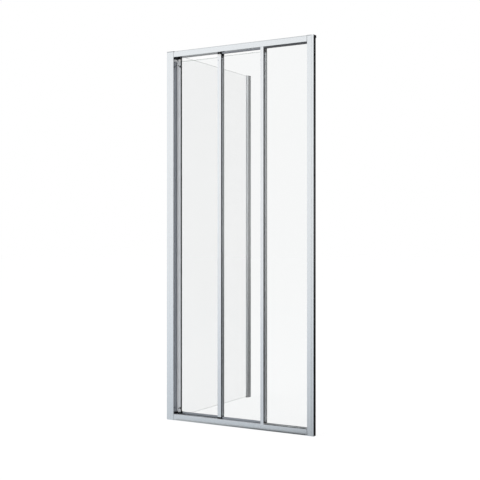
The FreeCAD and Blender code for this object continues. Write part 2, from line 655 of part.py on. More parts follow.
def bracket_screw_heights(top, foot):
    return [HEIGHT - top - BRACKET_SCREW_TOP, foot + BRACKET_SCREW_FOOT]


def lead_screw_seats(lead, middle):
    # The bracket screws of a left-hand stile go in through its face.
    heights = bracket_screw_heights(LEAD_STILE_TOP, LEAD_STILE_FOOT)
    return [(point(lead + CHAMBER_MIDDLE, middle - STILE_DEPTH / 2, z), Y_AXIS) for z in heights]


def trail_screw_seats(trail, middle):
    # Those of a right-hand stile go in through its outer edge, clear of the leaf in front.
    heights = bracket_screw_heights(TRAIL_STILE_TOP, TRAIL_STILE_FOOT)
    return [(point(trail + STILE_WIDTH, middle, z), -X_AXIS) for z in heights]


def screw_bores(seats, clearance, length):
    bores = []
    for seat, axis in seats:
        bores.append(rod(seat - axis * STILE_WALL, axis, BRACKET_SCREW_RADIUS + clearance,
                         STILE_WALL + length))
    return bores


def lead_stile(x, middle):
    stile = upright(lead_section(x, middle, STILE_WIDTH), LEAD_STILE_FOOT, HEIGHT - LEAD_STILE_TOP)
    return without(stile, screw_bores(lead_screw_seats(x, middle), HOLE_CLEARANCE, 2 * STILE_WALL))


def trail_stile(x, middle):
    stile = upright(trail_section(x, middle), TRAIL_STILE_FOOT, HEIGHT - TRAIL_STILE_TOP)
    return without(stile, screw_bores(trail_screw_seats(x, middle), HOLE_CLEARANCE, 2 * STILE_WALL))


def fixed_stile():
    section = lead_section(FIXED_LEAD, BAY_MIDDLE_1, FIXED_STILE_WIDTH)
    return upright(section, TRACK_FLOOR, TOP_PORT - PORT_RADIUS - FIXED_STILE_GAP)


def fixed_glass():
    left = FIXED_LEAD + FIXED_STILE_WIDTH - STILE_BITE
    right = JAMB_LEFT + JAMB_CHANNEL - GASKET_FLOOR
    sheet = pane(right - left, FIXED_GLASS_TOP - FIXED_GLASS_FOOT, DOOR_GLASS)
    sheet.translate(point(left, BAY_MIDDLE_1 - DOOR_GLASS / 2, FIXED_GLASS_FOOT))
    return sheet


def groove_strip(x_open, x_floor, middle, groove, glass, z0, z1):
    # A soft channel around one upright edge of a pane, open towards x_open.
    if x_open > x_floor:
        x_edge = x_floor + GASKET_FLOOR
    else:
        x_edge = x_floor - GASKET_FLOOR
    outline = rect_xy(min(x_open, x_floor), middle - groove / 2, max(x_open, x_floor), middle + groove / 2)
    slot = rect_xy(min(x_open, x_edge), middle - glass / 2, max(x_open, x_edge), middle + glass / 2)
    return upright(without(outline, [slot]), z0, z1)


def fixed_glass_gaskets():
    x0 = FIXED_LEAD + FIXED_STILE_WIDTH
    show = DOOR_GLASS / 2 + BEAD_LIP
    stile_strip = groove_strip(x0, x0 - STILE_GROOVE, BAY_MIDDLE_1, DOOR_GROOVE, DOOR_GLASS,
                               FIXED_GLASS_FOOT, FIXED_GLASS_TOP)
    jamb_strip = groove_strip(JAMB_LEFT, JAMB_LEFT + JAMB_CHANNEL, BAY_MIDDLE_1, DOOR_GROOVE, DOOR_GLASS,
                              FIXED_GLASS_FOOT, FIXED_GLASS_TOP)
    glass_low = rect_yz(BAY_MIDDLE_1 - DOOR_GLASS / 2, FIXED_GLASS_FOOT,
                        BAY_MIDDLE_1 + DOOR_GLASS / 2, HEIGHT / 2)
    glass_high = rect_yz(BAY_MIDDLE_1 - DOOR_GLASS / 2, HEIGHT / 2,
                         BAY_MIDDLE_1 + DOOR_GLASS / 2, FIXED_GLASS_TOP)
    low_body = rect_yz(RAIL_WALL, TRACK_FLOOR, TRACK_PITCH, RAIL_HEIGHT - BEAD_SHOULDER)
    low_lip = rect_yz(BAY_MIDDLE_1 - show, RAIL_HEIGHT - BEAD_SHOULDER,
                      BAY_MIDDLE_1 + show, RAIL_HEIGHT + BOTTOM_BEAD_SHOW)
    high_body = rect_yz(RAIL_WALL, RAIL_UNDERSIDE + BEAD_SHOULDER, TRACK_PITCH, FIXED_GLASS_TOP + BEAD_LIP)
    high_lip = rect_yz(BAY_MIDDLE_1 - show, RAIL_UNDERSIDE - TOP_BEAD_SHOW,
                       BAY_MIDDLE_1 + show, RAIL_UNDERSIDE + BEAD_SHOULDER)
    low = lengthwise(without(joined([low_body, low_lip]), [glass_low]), x0, RAIL_RIGHT)
    high = lengthwise(without(joined([high_body, high_lip]), [glass_high]), x0, RAIL_RIGHT)
    return [stile_strip, jamb_strip, low, high]


def leaf_glass(lead, trail, middle):
    left = lead + STILE_WIDTH - STILE_BITE
    right = trail + STILE_BITE
    sheet = pane(right - left, HEIGHT - SLIDING_GLASS_TOP - SLIDING_GLASS_FOOT, DOOR_GLASS)
    sheet.translate(point(left, middle - DOOR_GLASS / 2, SLIDING_GLASS_FOOT))
    return sheet


def leaf_gaskets(lead, trail, middle):
    top = max(SLIDING_GLASS_TOP, LEAD_STILE_TOP)
    foot = max(SLIDING_GLASS_FOOT, LEAD_STILE_FOOT)
    left = groove_strip(lead + STILE_WIDTH, lead + STILE_WIDTH - STILE_GROOVE, middle, DOOR_GROOVE,
                        DOOR_GLASS, foot, HEIGHT - top)
    top = max(SLIDING_GLASS_TOP, TRAIL_STILE_TOP)
    foot = max(SLIDING_GLASS_FOOT, TRAIL_STILE_FOOT)
    right = groove_strip(trail, trail + STILE_GROOVE, middle, DOOR_GROOVE, DOOR_GLASS, foot, HEIGHT - top)
    return [left, right]


def drip_seal(lead, trail, middle):
    # A clip on the glass edge with a tapered fin that hangs into the track.
    half = DOOR_GLASS / 2 + DRIP_WALL
    foot = RAIL_HEIGHT + DRIP_FOOT_GAP
    clip = outline_yz([(middle - half, foot), (middle + half, foot), (middle + half, DRIP_TOP - DRIP_LIP),
                       (middle + half - DRIP_LIP, DRIP_TOP), (middle - half + DRIP_LIP, DRIP_TOP),
                       (middle - half, DRIP_TOP - DRIP_LIP)])
    slot = rect_yz(middle - DOOR_GLASS / 2, SLIDING_GLASS_FOOT, middle + DOOR_GLASS / 2, DRIP_TOP)
    fin = outline_yz([(middle - DRIP_FIN / 2, foot), (middle - DRIP_FIN_TIP / 2, DRIP_FIN_FOOT),
                      (middle + DRIP_FIN_TIP / 2, DRIP_FIN_FOOT), (middle + DRIP_FIN / 2, foot)])
    return lengthwise(without(joined([clip, fin]), [slot]), lead + STILE_WIDTH, trail)


def pile_seal(trail, middle):
    # A woven band in the stile's seat, with a narrower brush on it.
    x = trail + STILE_GROOVE / 2
    front = middle - STILE_DEPTH / 2
    reach = TRACK_PITCH - STILE_DEPTH - PILE_GAP
    band = rect_xy(x - PILE_WIDTH / 2, front, x + PILE_WIDTH / 2, front + PILE_SEAT)
    brush = rect_xy(x - PILE_TUFT_WIDTH / 2, front - reach, x + PILE_TUFT_WIDTH / 2, front)
    return upright(joined([band, brush]), TRAIL_STILE_FOOT, HEIGHT - TRAIL_STILE_TOP)


def bracket_tongue(x, middle, z0, z1, tip):
    # The part of a bracket that fills the end of a stile, with a lead-in at its tip.
    half = CHAMBER_WIDTH / 2 - FIT_CLEARANCE
    deep = CHAMBER_DEPTH / 2 - FIT_CLEARANCE
    tongue = upright(rect_xy(x - half, middle - deep, x + half, middle + deep), z0, z1)
    return tongue.makeChamfer(BRACKET_LEAD_IN, edges_in(tongue, z=tip))


def bracket_head(left, right, middle, z0, z1):
    # The block that covers the end of a stile, with its upright corners rounded.
    half = BRACKET_DEPTH / 2
    edge = BRACKET_EDGE
    outline = rounded_xy(left, middle - half, right, middle + half, edge, edge, edge, edge)
    return upright(outline, z0, z1)


def bracket_stem(x, z0, z1, y0, y1):
    # The upright plate that carries the top pin, with round shoulders.
    half = BRACKET_WIDTH / 2
    outline = rounded_xz(x - half, z0, x + half, z1, 0, 0, STEM_ROUND, STEM_ROUND)
    return inward(outline, y0, y1)


def bracket_cheek(x, z0, z1, y0, y1):
    # One of the two plates that hold the bottom pin, with a round foot.
    half = BRACKET_WIDTH / 2
    outline = rounded_xz(x - half, z0, x + half, z1, CHEEK_ROUND, CHEEK_ROUND, 0, 0)
    return inward(outline, y0, y1)


def top_bracket(x, head_right, middle, stile_top, seats):
    # Tongue in the stile, block over its end, and a stem through the slot of the rail that carries a pin.
    stem_front = middle - TRACK_WIDTH / 2 + FRONT_LIP + STEM_GAP
    stem_back = middle + TRACK_WIDTH / 2 - LIP_WIDTH - STEM_GAP
    roller_front = middle + TOP_ROLLER_SHIFT - ROLLER_WIDTH / 2
    head_foot = HEIGHT - stile_top
    head_top = RAIL_UNDERSIDE - STEM_GAP
    tongue_foot = head_foot - BRACKET_TONGUE
    tongue = bracket_tongue(x, middle, tongue_foot, head_foot, tongue_foot)
    head = bracket_head(x - BRACKET_WIDTH / 2, head_right, middle, head_foot, head_top)
    stem = bracket_stem(x, head_top, TOP_ROLLER_Z + STEM_RISE, stem_front, stem_back)
    boss = rod(point(x, stem_back, TOP_ROLLER_Z), Y_AXIS, TOP_PIN_RADIUS + BRACKET_BOSS,
               roller_front - SLIDE_CLEARANCE - stem_back)
    bore = rod(point(x, stem_front, TOP_ROLLER_Z), Y_AXIS, TOP_PIN_RADIUS + RUNNING_CLEARANCE, TRACK_WIDTH)
    pilots = screw_bores(seats, RUNNING_CLEARANCE, BRACKET_SCREW_LENGTH + FIT_CLEARANCE)
    return head.multiFuse([tongue, stem, boss]).removeSplitter().cut([bore] + pilots)


def bottom_bracket(x, middle, stile_foot, seats):
    # Tongue in the stile, block under its end, and two cheeks that hold a pin across the track.
    inner = ROLLER_WIDTH / 2 + CHEEK_GAP
    outer = inner + CHEEK_THICKNESS
    crown = BOTTOM_ROLLER_Z + BOTTOM_FLANGE_RADIUS + STEM_GAP
    low = BOTTOM_ROLLER_Z - CHEEK_DROP
    tongue_top = stile_foot + BRACKET_TONGUE
    tongue = bracket_tongue(x, middle, stile_foot, tongue_top, tongue_top)
    head = bracket_head(x - BRACKET_WIDTH / 2, x + BRACKET_WIDTH / 2, middle, crown, stile_foot)
    front_cheek = bracket_cheek(x, low, crown, middle - outer, middle - inner)
    back_cheek = bracket_cheek(x, low, crown, middle + inner, middle + outer)
    bore = rod(point(x, middle - outer, BOTTOM_ROLLER_Z), Y_AXIS, BOTTOM_PIN_RADIUS + RUNNING_CLEARANCE,
               2 * outer)
    pilots = screw_bores(seats, RUNNING_CLEARANCE, BRACKET_SCREW_LENGTH + FIT_CLEARANCE)
    return head.multiFuse([tongue, front_cheek, back_cheek]).removeSplitter().cut([bore] + pilots)


def top_pin(x, middle):
    start = middle - TRACK_WIDTH / 2 + FRONT_LIP + STEM_GAP
    end = middle + TOP_ROLLER_SHIFT + ROLLER_WIDTH / 2 + SLIDE_CLEARANCE
    shaft = rod(point(x, start, TOP_ROLLER_Z), Y_AXIS, TOP_PIN_RADIUS, end - start)
    retainer = rod(point(x, end, TOP_ROLLER_Z), Y_AXIS, TOP_PIN_RADIUS + PIN_RETAINER_LIP, PIN_RETAINER)
    return shaft.fuse(retainer).removeSplitter()


def bottom_pin(x, middle):
    half = ROLLER_WIDTH / 2 + CHEEK_GAP + CHEEK_THICKNESS
    return rod(point(x, middle - half, BOTTOM_ROLLER_Z), Y_AXIS, BOTTOM_PIN_RADIUS, 2 * half)


def roller(x, y, z, groove_radius, bore_radius):
    # A wheel turning about y, with a tapered groove around it and a shallow dish in each side.
    half = ROLLER_WIDTH / 2
    rim = groove_radius + BEAD_HEIGHT
    bed = BEAD_WIDTH / 2
    mouth = bed + ROLLER_GROOVE_GAP
    hub = bore_radius + ROLLER_HUB / 2
    dish = groove_radius - ROLLER_HUB / 2
    floor = half - ROLLER_RECESS
    upper = [(groove_radius, bed), (rim, mouth), (rim, half), (dish, half), (hub, floor),
             (bore_radius, floor)]
    lower = [(radius, -across) for radius, across in reversed(upper)]
    corners = [point(x + radius, y + across, z) for radius, across in upper + lower]
    outline = Part.Face(Part.makePolygon(corners + corners[:1]))
    return outline.revolve(point(x, y, z), Y_AXIS, 360)


def bracket_screws(lead, trail, middle):
    screws = []
    for seat, axis in lead_screw_seats(lead, middle) + trail_screw_seats(trail, middle):
        screws.append(screw(seat, axis, BRACKET_SCREW_RADIUS, BRACKET_SCREW_LENGTH,
                            BRACKET_SCREW_HEAD, BRACKET_SCREW_HEAD_HEIGHT))
    return screws


def sliding_leaf(name, lead, trail, middle):
    # Every piece of one sliding leaf, by node name.
    lead_x = lead + CHAMBER_MIDDLE
    trail_x = trail + STILE_WIDTH - CHAMBER_MIDDLE
    roller_y = middle + TOP_ROLLER_SHIFT
    top_bore = TOP_PIN_RADIUS + RUNNING_CLEARANCE
    bottom_bore = BOTTOM_PIN_RADIUS + RUNNING_CLEARANCE
    pieces = {}
    pieces[name + "_glass"] = [leaf_glass(lead, trail, middle)]
    pieces[name + "_lead_stile"] = [lead_stile(lead, middle)]
    pieces[name + "_trail_stile"] = [trail_stile(trail, middle)]
    pieces[name + "_glass_gaskets"] = leaf_gaskets(lead, trail, middle)
    pieces[name + "_drip_seal"] = [drip_seal(lead, trail, middle)]
    pieces[name + "_pile_seal"] = [pile_seal(trail, middle)]
    lead_seats = lead_screw_seats(lead, middle)
    trail_seats = trail_screw_seats(trail, middle)
    lead_right = lead + STILE_WIDTH - BRACKET_INSET
    trail_right = trail_x + BRACKET_WIDTH / 2
    pieces[name + "_top_brackets"] = [
        top_bracket(lead_x, lead_right, middle, LEAD_STILE_TOP, lead_seats),
        top_bracket(trail_x, trail_right, middle, TRAIL_STILE_TOP, trail_seats)]
    pieces[name + "_bottom_brackets"] = [
        bottom_bracket(lead_x, middle, LEAD_STILE_FOOT, lead_seats),
        bottom_bracket(trail_x, middle, TRAIL_STILE_FOOT, trail_seats)]
    pieces[name + "_roller_pins"] = [top_pin(lead_x, middle), top_pin(trail_x, middle),
                                     bottom_pin(lead_x, middle), bottom_pin(trail_x, middle)]
    pieces[name + "_bracket_screws"] = bracket_screws(lead, trail, middle)
    for end, x in (("lead", lead_x), ("trail", trail_x)):
        high = roller(x, roller_y, TOP_ROLLER_Z, TOP_ROLLER_RADIUS, top_bore)
        low = roller(x, middle, BOTTOM_ROLLER_Z, BOTTOM_ROLLER_RADIUS, bottom_bore)
        pieces[name + "_top_roller_" + end] = [high]
        pieces[name + "_bottom_roller_" + end] = [low]
    return pieces


def magnet_strip(x, z0, z1):
    # One of the two strips that meet when the inner leaf closes, with its left face at x.
    front = BAY_MIDDLE_3 - MAGNET_WIDTH / 2
    back = BAY_MIDDLE_3 + MAGNET_WIDTH / 2
    edge = MAGNET_EDGE
    return upright(rounded_xy(x, front, x + MAGNET_THICKNESS, back, edge, edge, edge, edge), z0, z1)


def inner_magnet_strip():
    return magnet_strip(INNER_LEAD - MAGNET_THICKNESS, LEAD_STILE_FOOT, HEIGHT - LEAD_STILE_TOP)


def post_magnet_strip():
    return magnet_strip(POST_WIDTH, RAIL_HEIGHT + MAGNET_END, RAIL_UNDERSIDE - MAGNET_END)


def track_buffers():
    blocks = []
    low = RAIL_UNDERSIDE + RAIL_WALL
    for middle in (BAY_MIDDLE_2, BAY_MIDDLE_3):
        front = middle - TRACK_WIDTH / 2
        back = middle + TRACK_WIDTH / 2 - LIP_WIDTH
        outline = rounded_xy(RAIL_RIGHT - BUFFER_THICKNESS, front, RAIL_RIGHT, back,
                             BUFFER_NOSE, BUFFER_EDGE, BUFFER_EDGE, BUFFER_NOSE)
        blocks.append(upright(outline, low, low + BUFFER_HEIGHT))
    return blocks


def closing_stop():
    right = MIDDLE_LEAD + BRACKET_INSET - SLIDE_CLEARANCE
    low = RAIL_UNDERSIDE + RAIL_WALL
    front = BAY_MIDDLE_2 - TRACK_WIDTH / 2
    back = BAY_MIDDLE_2 + TRACK_WIDTH / 2 - LIP_WIDTH
    outline = rounded_xy(right - BUFFER_THICKNESS, front, right, back,
                         BUFFER_EDGE, BUFFER_NOSE, BUFFER_NOSE, BUFFER_EDGE)
    return upright(outline, low, low + BUFFER_HEIGHT)


def post_buffer():
    high = RAIL_UNDERSIDE - POST_BUFFER_DROP
    back = BAY_MIDDLE_3 - STILE_DEPTH / 2 - BEAD_LIP
    section = rounded_xz(POST_WIDTH, high - POST_BUFFER_HEIGHT, POST_WIDTH + POST_BUFFER_THICKNESS, high,
                         BUFFER_EDGE, BUFFER_NOSE, BUFFER_NOSE, BUFFER_EDGE)
    return inward(section, back - POST_BUFFER_DEPTH, back)


def buffer_clip():
    high = RAIL_UNDERSIDE - POST_BUFFER_DROP - POST_BUFFER_HEIGHT
    back = BAY_MIDDLE_3 - STILE_DEPTH / 2 - BEAD_LIP
    outline = rounded_xy(POST_WIDTH, back - POST_BUFFER_DEPTH, POST_WIDTH + BUFFER_CLIP_THICKNESS, back,
                         BUFFER_EDGE, BUFFER_CLIP_EDGE, BUFFER_CLIP_EDGE, BUFFER_EDGE)
    return upright(outline, high - BUFFER_CLIP_HEIGHT, high)


def side_strip(y_open, y_floor, z0, z1):
    # A soft channel around one upright edge of the side pane, open towards y_open.
    if y_open > y_floor:
        y_edge = y_floor + GASKET_FLOOR
    else:
        y_edge = y_floor - GASKET_FLOOR
    outline = rect_xy(SIDE_GLASS_OFFSET - SIDE_GROOVE / 2, min(y_open, y_floor),
                      SIDE_GLASS_OFFSET + SIDE_GROOVE / 2, max(y_open, y_floor))
    slot = rect_xy(SIDE_GLASS_OFFSET - SIDE_GLASS / 2, min(y_open, y_edge),
                   SIDE_GLASS_OFFSET + SIDE_GLASS / 2, max(y_open, y_edge))
    return upright(without(outline, [slot]), z0, z1)


def side_glass():
    front = RAIL_DEPTH + GASKET_FLOOR
    back = GLAZING_FRONT + GLAZING_CHANNEL - GASKET_FLOOR
    sheet = pane(back - front, SIDE_GLASS_TOP - SIDE_GLASS_FOOT, SIDE_GLASS)
    sheet.rotate(point(0, 0, 0), Z_AXIS, 90)
    sheet.translate(point(SIDE_GLASS_OFFSET + SIDE_GLASS / 2, front, SIDE_GLASS_FOOT))
    return sheet


def side_post_gasket():
    return side_strip(POST_DEPTH, RAIL_DEPTH, SIDE_GLASS_FOOT, SIDE_GLASS_TOP)


def side_glazing_gasket():
    front = GLAZING_FRONT + GLAZING_SET_BACK
    return side_strip(front, GLAZING_FRONT + GLAZING_CHANNEL, SIDE_GLASS_FOOT, SIDE_GLASS_TOP)


def side_setting_blocks():
    x0 = SIDE_GLASS_OFFSET - SIDE_GROOVE / 2
    x1 = SIDE_GLASS_OFFSET + SIDE_GROOVE / 2
    front = block(x0, RAIL_DEPTH, 0, x1, POST_DEPTH, SIDE_GLASS_FOOT)
    back = block(x0, GLAZING_FRONT, 0, x1, GLAZING_FRONT + GLAZING_CHANNEL, SIDE_GLASS_FOOT)
    return [front, back]


def glazing_outline(back):
    return rounded_xy(GLAZING_LEFT, GLAZING_FRONT, GLAZING_RIGHT, back, POST_EDGE, GLAZING_NOSE, POST_EDGE,
                      POST_EDGE)


def side_glazing_profile():
    # A glass channel with a round-nosed hollow beside it, and a pocket behind both for the wall profile.
    groove_left = SIDE_GLASS_OFFSET - SIDE_GROOVE / 2
    groove_right = SIDE_GLASS_OFFSET + SIDE_GROOVE / 2
    channel_back = GLAZING_FRONT + GLAZING_CHANNEL
    channel = rect_xy(groove_left, GLAZING_FRONT, groove_right, channel_back)
    inside_right = GLAZING_RIGHT - GLAZING_WALL
    inside = rounded_xy(groove_left, GLAZING_FRONT + GLAZING_WALL, inside_right, channel_back,
                        0, GLAZING_NOSE - GLAZING_WALL, 0, 0)
    hollow = inside.common(rect_xy(groove_right + GLAZING_WALL, GLAZING_FRONT, inside_right, channel_back))
    pocket = rect_xy(GLAZING_LEFT + GLAZING_WALL, GLAZING_POCKET, GLAZING_RIGHT - GLAZING_WALL, GLAZING_BACK)
    section = without(glazing_outline(GLAZING_BACK), [channel, hollow, pocket])
    profile = upright(section, 0, SIDE_TOP - CAP_THICKNESS)
    holes = []
    for z in lock_screw_heights(SIDE_TOP):
        start = point(GLAZING_LEFT - GLAZING_WALL, side_lock_y(), z)
        holes.append(rod(start, X_AXIS, SCREW_HOLE, 3 * GLAZING_WALL))
    return without(profile, holes)


def side_lock_y():
    return (SIDE_WALL_FRONT + GLAZING_BACK) / 2


def side_wall_profile():
    outline = rect_xy(SIDE_WALL_LEFT, SIDE_WALL_FRONT, SIDE_WALL_RIGHT, DEPTH)
    inside = rect_xy(SIDE_WALL_LEFT + SIDE_WALL_THICKNESS, SIDE_WALL_FRONT,
                     SIDE_WALL_RIGHT - SIDE_WALL_THICKNESS, DEPTH - SIDE_WALL_THICKNESS)
    profile = upright(without(outline, [inside]), 0, SIDE_TOP - CAP_THICKNESS)
    holes = []
    for z in wall_hole_heights(SIDE_TOP):
        start = point(GLAZING_MIDDLE, DEPTH - 2 * SIDE_WALL_THICKNESS, z)
        holes.append(rod(start, Y_AXIS, WALL_HOLE_RADIUS, 3 * SIDE_WALL_THICKNESS))
    for z in lock_screw_heights(SIDE_TOP):
        start = point(SIDE_WALL_LEFT - SIDE_WALL_THICKNESS, side_lock_y(), z)
        holes.append(rod(start, X_AXIS, SCREW_HOLE, 3 * SIDE_WALL_THICKNESS))
    return without(profile, holes)


def side_profile_cap():
    inset = SIDE_WALL_THICKNESS + FIT_CLEARANCE
    under = SIDE_TOP - CAP_THICKNESS
    plate = cap_plate(glazing_outline(DEPTH), under, SIDE_TOP)
    plug = hollow_plug(SIDE_WALL_LEFT + inset, SIDE_WALL_FRONT, under - CAP_PLUG, SIDE_WALL_RIGHT - inset,
                       DEPTH - inset, under)
    return plate.fuse(plug).removeSplitter()


def side_lock_screws():
    screws = []
    for z in lock_screw_heights(SIDE_TOP):
        seat = point(GLAZING_LEFT, side_lock_y(), z)
        screws.append(screw(seat, X_AXIS, SCREW_RADIUS, LOCK_SCREW_LENGTH, SCREW_HEAD_RADIUS,
                            SCREW_HEAD_HEIGHT))
    return screws


def save(name, shapes):
    solids = []
    for shape in shapes:
        solids.extend(shape.Solids)
    if len(solids) == 1:
        result = solids[0]
    else:
        result = Part.makeCompound(solids)
    result.translate(point(-WIDTH / 2, -DEPTH / 2, 0))
    result.exportStep("parts/" + name + ".step")


def main():
    os.makedirs("parts", exist_ok=True)
    nodes = {}
    nodes["corner_post"] = [corner_post()]
    nodes["corner_post_cap"] = [corner_post_cap()]
    nodes["wall_profile"] = [wall_profile()]
    nodes["wall_profile_cap"] = [wall_profile_cap()]
    nodes["fixed_jamb"] = [fixed_jamb()]
    nodes["fixed_jamb_cap"] = [fixed_jamb_cap()]
    nodes["jamb_lock_screws"] = jamb_lock_screws()
    nodes["top_rail"] = [top_rail()]
    nodes["bottom_rail"] = [bottom_rail()]
    nodes["rail_end_gaskets"] = rail_end_gaskets()
    nodes["frame_screws"] = frame_screws()
    nodes["top_infill"] = [top_infill()]
    nodes["bottom_infill"] = [bottom_infill()]
    nodes["fixed_stile"] = [fixed_stile()]
    nodes["fixed_glass"] = [fixed_glass()]
    nodes["fixed_glass_gaskets"] = fixed_glass_gaskets()
    nodes["post_magnet_strip"] = [post_magnet_strip()]
    nodes["track_buffers"] = track_buffers()
    nodes["closing_stop"] = [closing_stop()]
    nodes["post_buffer"] = [post_buffer()]
    nodes["buffer_clip"] = [buffer_clip()]
    nodes["side_glass"] = [side_glass()]
    nodes["side_post_gasket"] = [side_post_gasket()]
    nodes["side_glazing_profile"] = [side_glazing_profile()]
    nodes["side_glazing_gasket"] = [side_glazing_gasket()]
    nodes["side_setting_blocks"] = side_setting_blocks()
    nodes["side_wall_profile"] = [side_wall_profile()]
    nodes["side_profile_cap"] = [side_profile_cap()]
    nodes["side_lock_screws"] = side_lock_screws()
    nodes["inner_magnet_strip"] = [inner_magnet_strip()]
    nodes.update(sliding_leaf("inner", INNER_LEAD, INNER_TRAIL, BAY_MIDDLE_3))
    nodes.update(sliding_leaf("middle", MIDDLE_LEAD, MIDDLE_TRAIL, BAY_MIDDLE_2))
    for name, shapes in nodes.items():
        save(name, shapes)


main()
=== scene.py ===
"""Looks of a corner shower enclosure: two sliding leaves beside a fixed pane, and a fixed side pane.

Each sub-assembly is a class that finishes its own pieces. The brushed pile seals are made here, tuft by
tuft. So is the small trim: the guides, catches, shoes and lip of the leaves, a grey band below the top rail,
which is painted shade for the shade under the rail, and the tips of the gasket in the seam. The other pieces
keep the shapes that they have.
"""

from __future__ import annotations

import logging
import math
import random
from dataclasses import dataclass, replace
from enum import Enum
from typing import Iterable

import bmesh
import bpy
from mathutils import Matrix, Vector

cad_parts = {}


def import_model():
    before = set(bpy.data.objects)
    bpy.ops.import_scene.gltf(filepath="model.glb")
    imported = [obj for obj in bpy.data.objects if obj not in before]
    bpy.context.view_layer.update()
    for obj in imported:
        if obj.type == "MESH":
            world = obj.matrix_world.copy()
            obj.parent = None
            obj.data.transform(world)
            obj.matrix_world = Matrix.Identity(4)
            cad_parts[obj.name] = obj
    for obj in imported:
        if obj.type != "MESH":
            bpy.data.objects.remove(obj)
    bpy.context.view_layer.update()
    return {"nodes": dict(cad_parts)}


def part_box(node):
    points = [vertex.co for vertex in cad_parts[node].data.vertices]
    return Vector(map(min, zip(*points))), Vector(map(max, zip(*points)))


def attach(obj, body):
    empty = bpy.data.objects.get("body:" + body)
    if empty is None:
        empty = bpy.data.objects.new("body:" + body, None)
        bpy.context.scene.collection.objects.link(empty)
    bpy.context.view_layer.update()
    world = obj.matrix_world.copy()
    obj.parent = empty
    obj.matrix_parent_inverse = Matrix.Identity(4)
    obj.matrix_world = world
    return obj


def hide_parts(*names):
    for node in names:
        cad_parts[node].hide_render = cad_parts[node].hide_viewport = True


LOG = logging.getLogger("shower_enclosure")
BEVEL_STEPS = 3

# The part of a face's direction that lies along an axis, for a face square on to it and one half turned.
SQUARE_ON = 0.9
HALF_TURNED = 0.5

Rgb = tuple[int, int, int]
Rgba = tuple[float, float, float, float]
Pieces = dict[str, bpy.types.Object]


def linear(colour: Rgb) -> Rgba:
    """Turns a screen colour into scene values.

    Args:
        colour: Red, green and blue, from 0 to 255.

    Returns:
        The same colour as linear values, with full alpha.
    """
    values = []
    for channel in colour:
        part = channel / 255
        values.append(part / 12.92 if part <= 0.04045 else ((part + 0.055) / 1.055) ** 2.4)
    return values[0], values[1], values[2], 1.0


def make_sheet(columns: int, rows: int, width: float, height: float) -> bmesh.types.BMesh:
    """Starts a mesh with a flat sheet, centred on the origin.

    Args:
        columns: The number of faces across.
        rows: The number of faces along.
        width: The sheet's size across, in metres.
        height: The sheet's size along, in metres.

    Returns:
        The new mesh.
    """
    mesh = bmesh.new()
    bmesh.ops.create_grid(mesh, x_segments=columns, y_segments=rows, size=0.5)
    spread = [max(v.co[i] for v in mesh.verts) - min(v.co[i] for v in mesh.verts) for i in (0, 1)]
    size = Matrix.Diagonal((width / spread[0], height / spread[1], 1, 1))
    bmesh.ops.transform(mesh, matrix=size, verts=mesh.verts[:])
    return mesh


def thicken(mesh: bmesh.types.BMesh, step: Vector) -> list[bmesh.types.BMVert]:
    """Turns a flat mesh into a closed solid.

    Args:
        mesh: The flat mesh.
        step: The way from the flat side to the new one, in metres.

    Returns:
        The points of the new side.
    """
    grown = bmesh.ops.extrude_face_region(mesh, geom=mesh.faces[:])["geom"]
    moved = [item for item in grown if isinstance(item, bmesh.types.BMVert)]
    bmesh.ops.translate(mesh, verts=moved, vec=step)
    bmesh.ops.recalc_face_normals(mesh, faces=mesh.faces[:])
    return moved


def make_object(name: str, mesh: bmesh.types.BMesh, material: bpy.types.Material) -> bpy.types.Object:
    """Turns a shaped mesh into an object of the scene.

    Args:
        name: The name of the object and of its mesh.
        mesh: The shaped mesh, which is freed.
        material: The material that it gets.

    Returns:
        The new object, which stands at the origin.
    """
    data = bpy.data.meshes.new(name)
    mesh.to_mesh(data)
    mesh.free()
    data.materials.append(material)
    made = bpy.data.objects.new(name, data)
    bpy.context.scene.collection.objects.link(made)
    return made


class Grain(Enum):
    """The way that a drawn or moulded piece runs."""

    LENGTHWISE = (1, 0, 0)
    INWARD = (0, 1, 0)
    UPRIGHT = (0, 0, 1)

    def repeats(self, pitch: float, run: float) -> tuple[float, ...]:
        """Gives a pattern's repeats per metre on each axis, from the pitch and the run of its lines."""
        return tuple(1 / run if along else 1 / pitch for along in self.value)


class Texture(Enum):
    """How a surface was made, which decides its fine relief."""

    DRAWN = "drawn_lines"
    MOULDED = "moulded_skin"


class Trim(Enum):
    """What a leaf carries on the front of its left stile, besides its guide."""

    CATCHES = "catches"
    LIP = "lip"


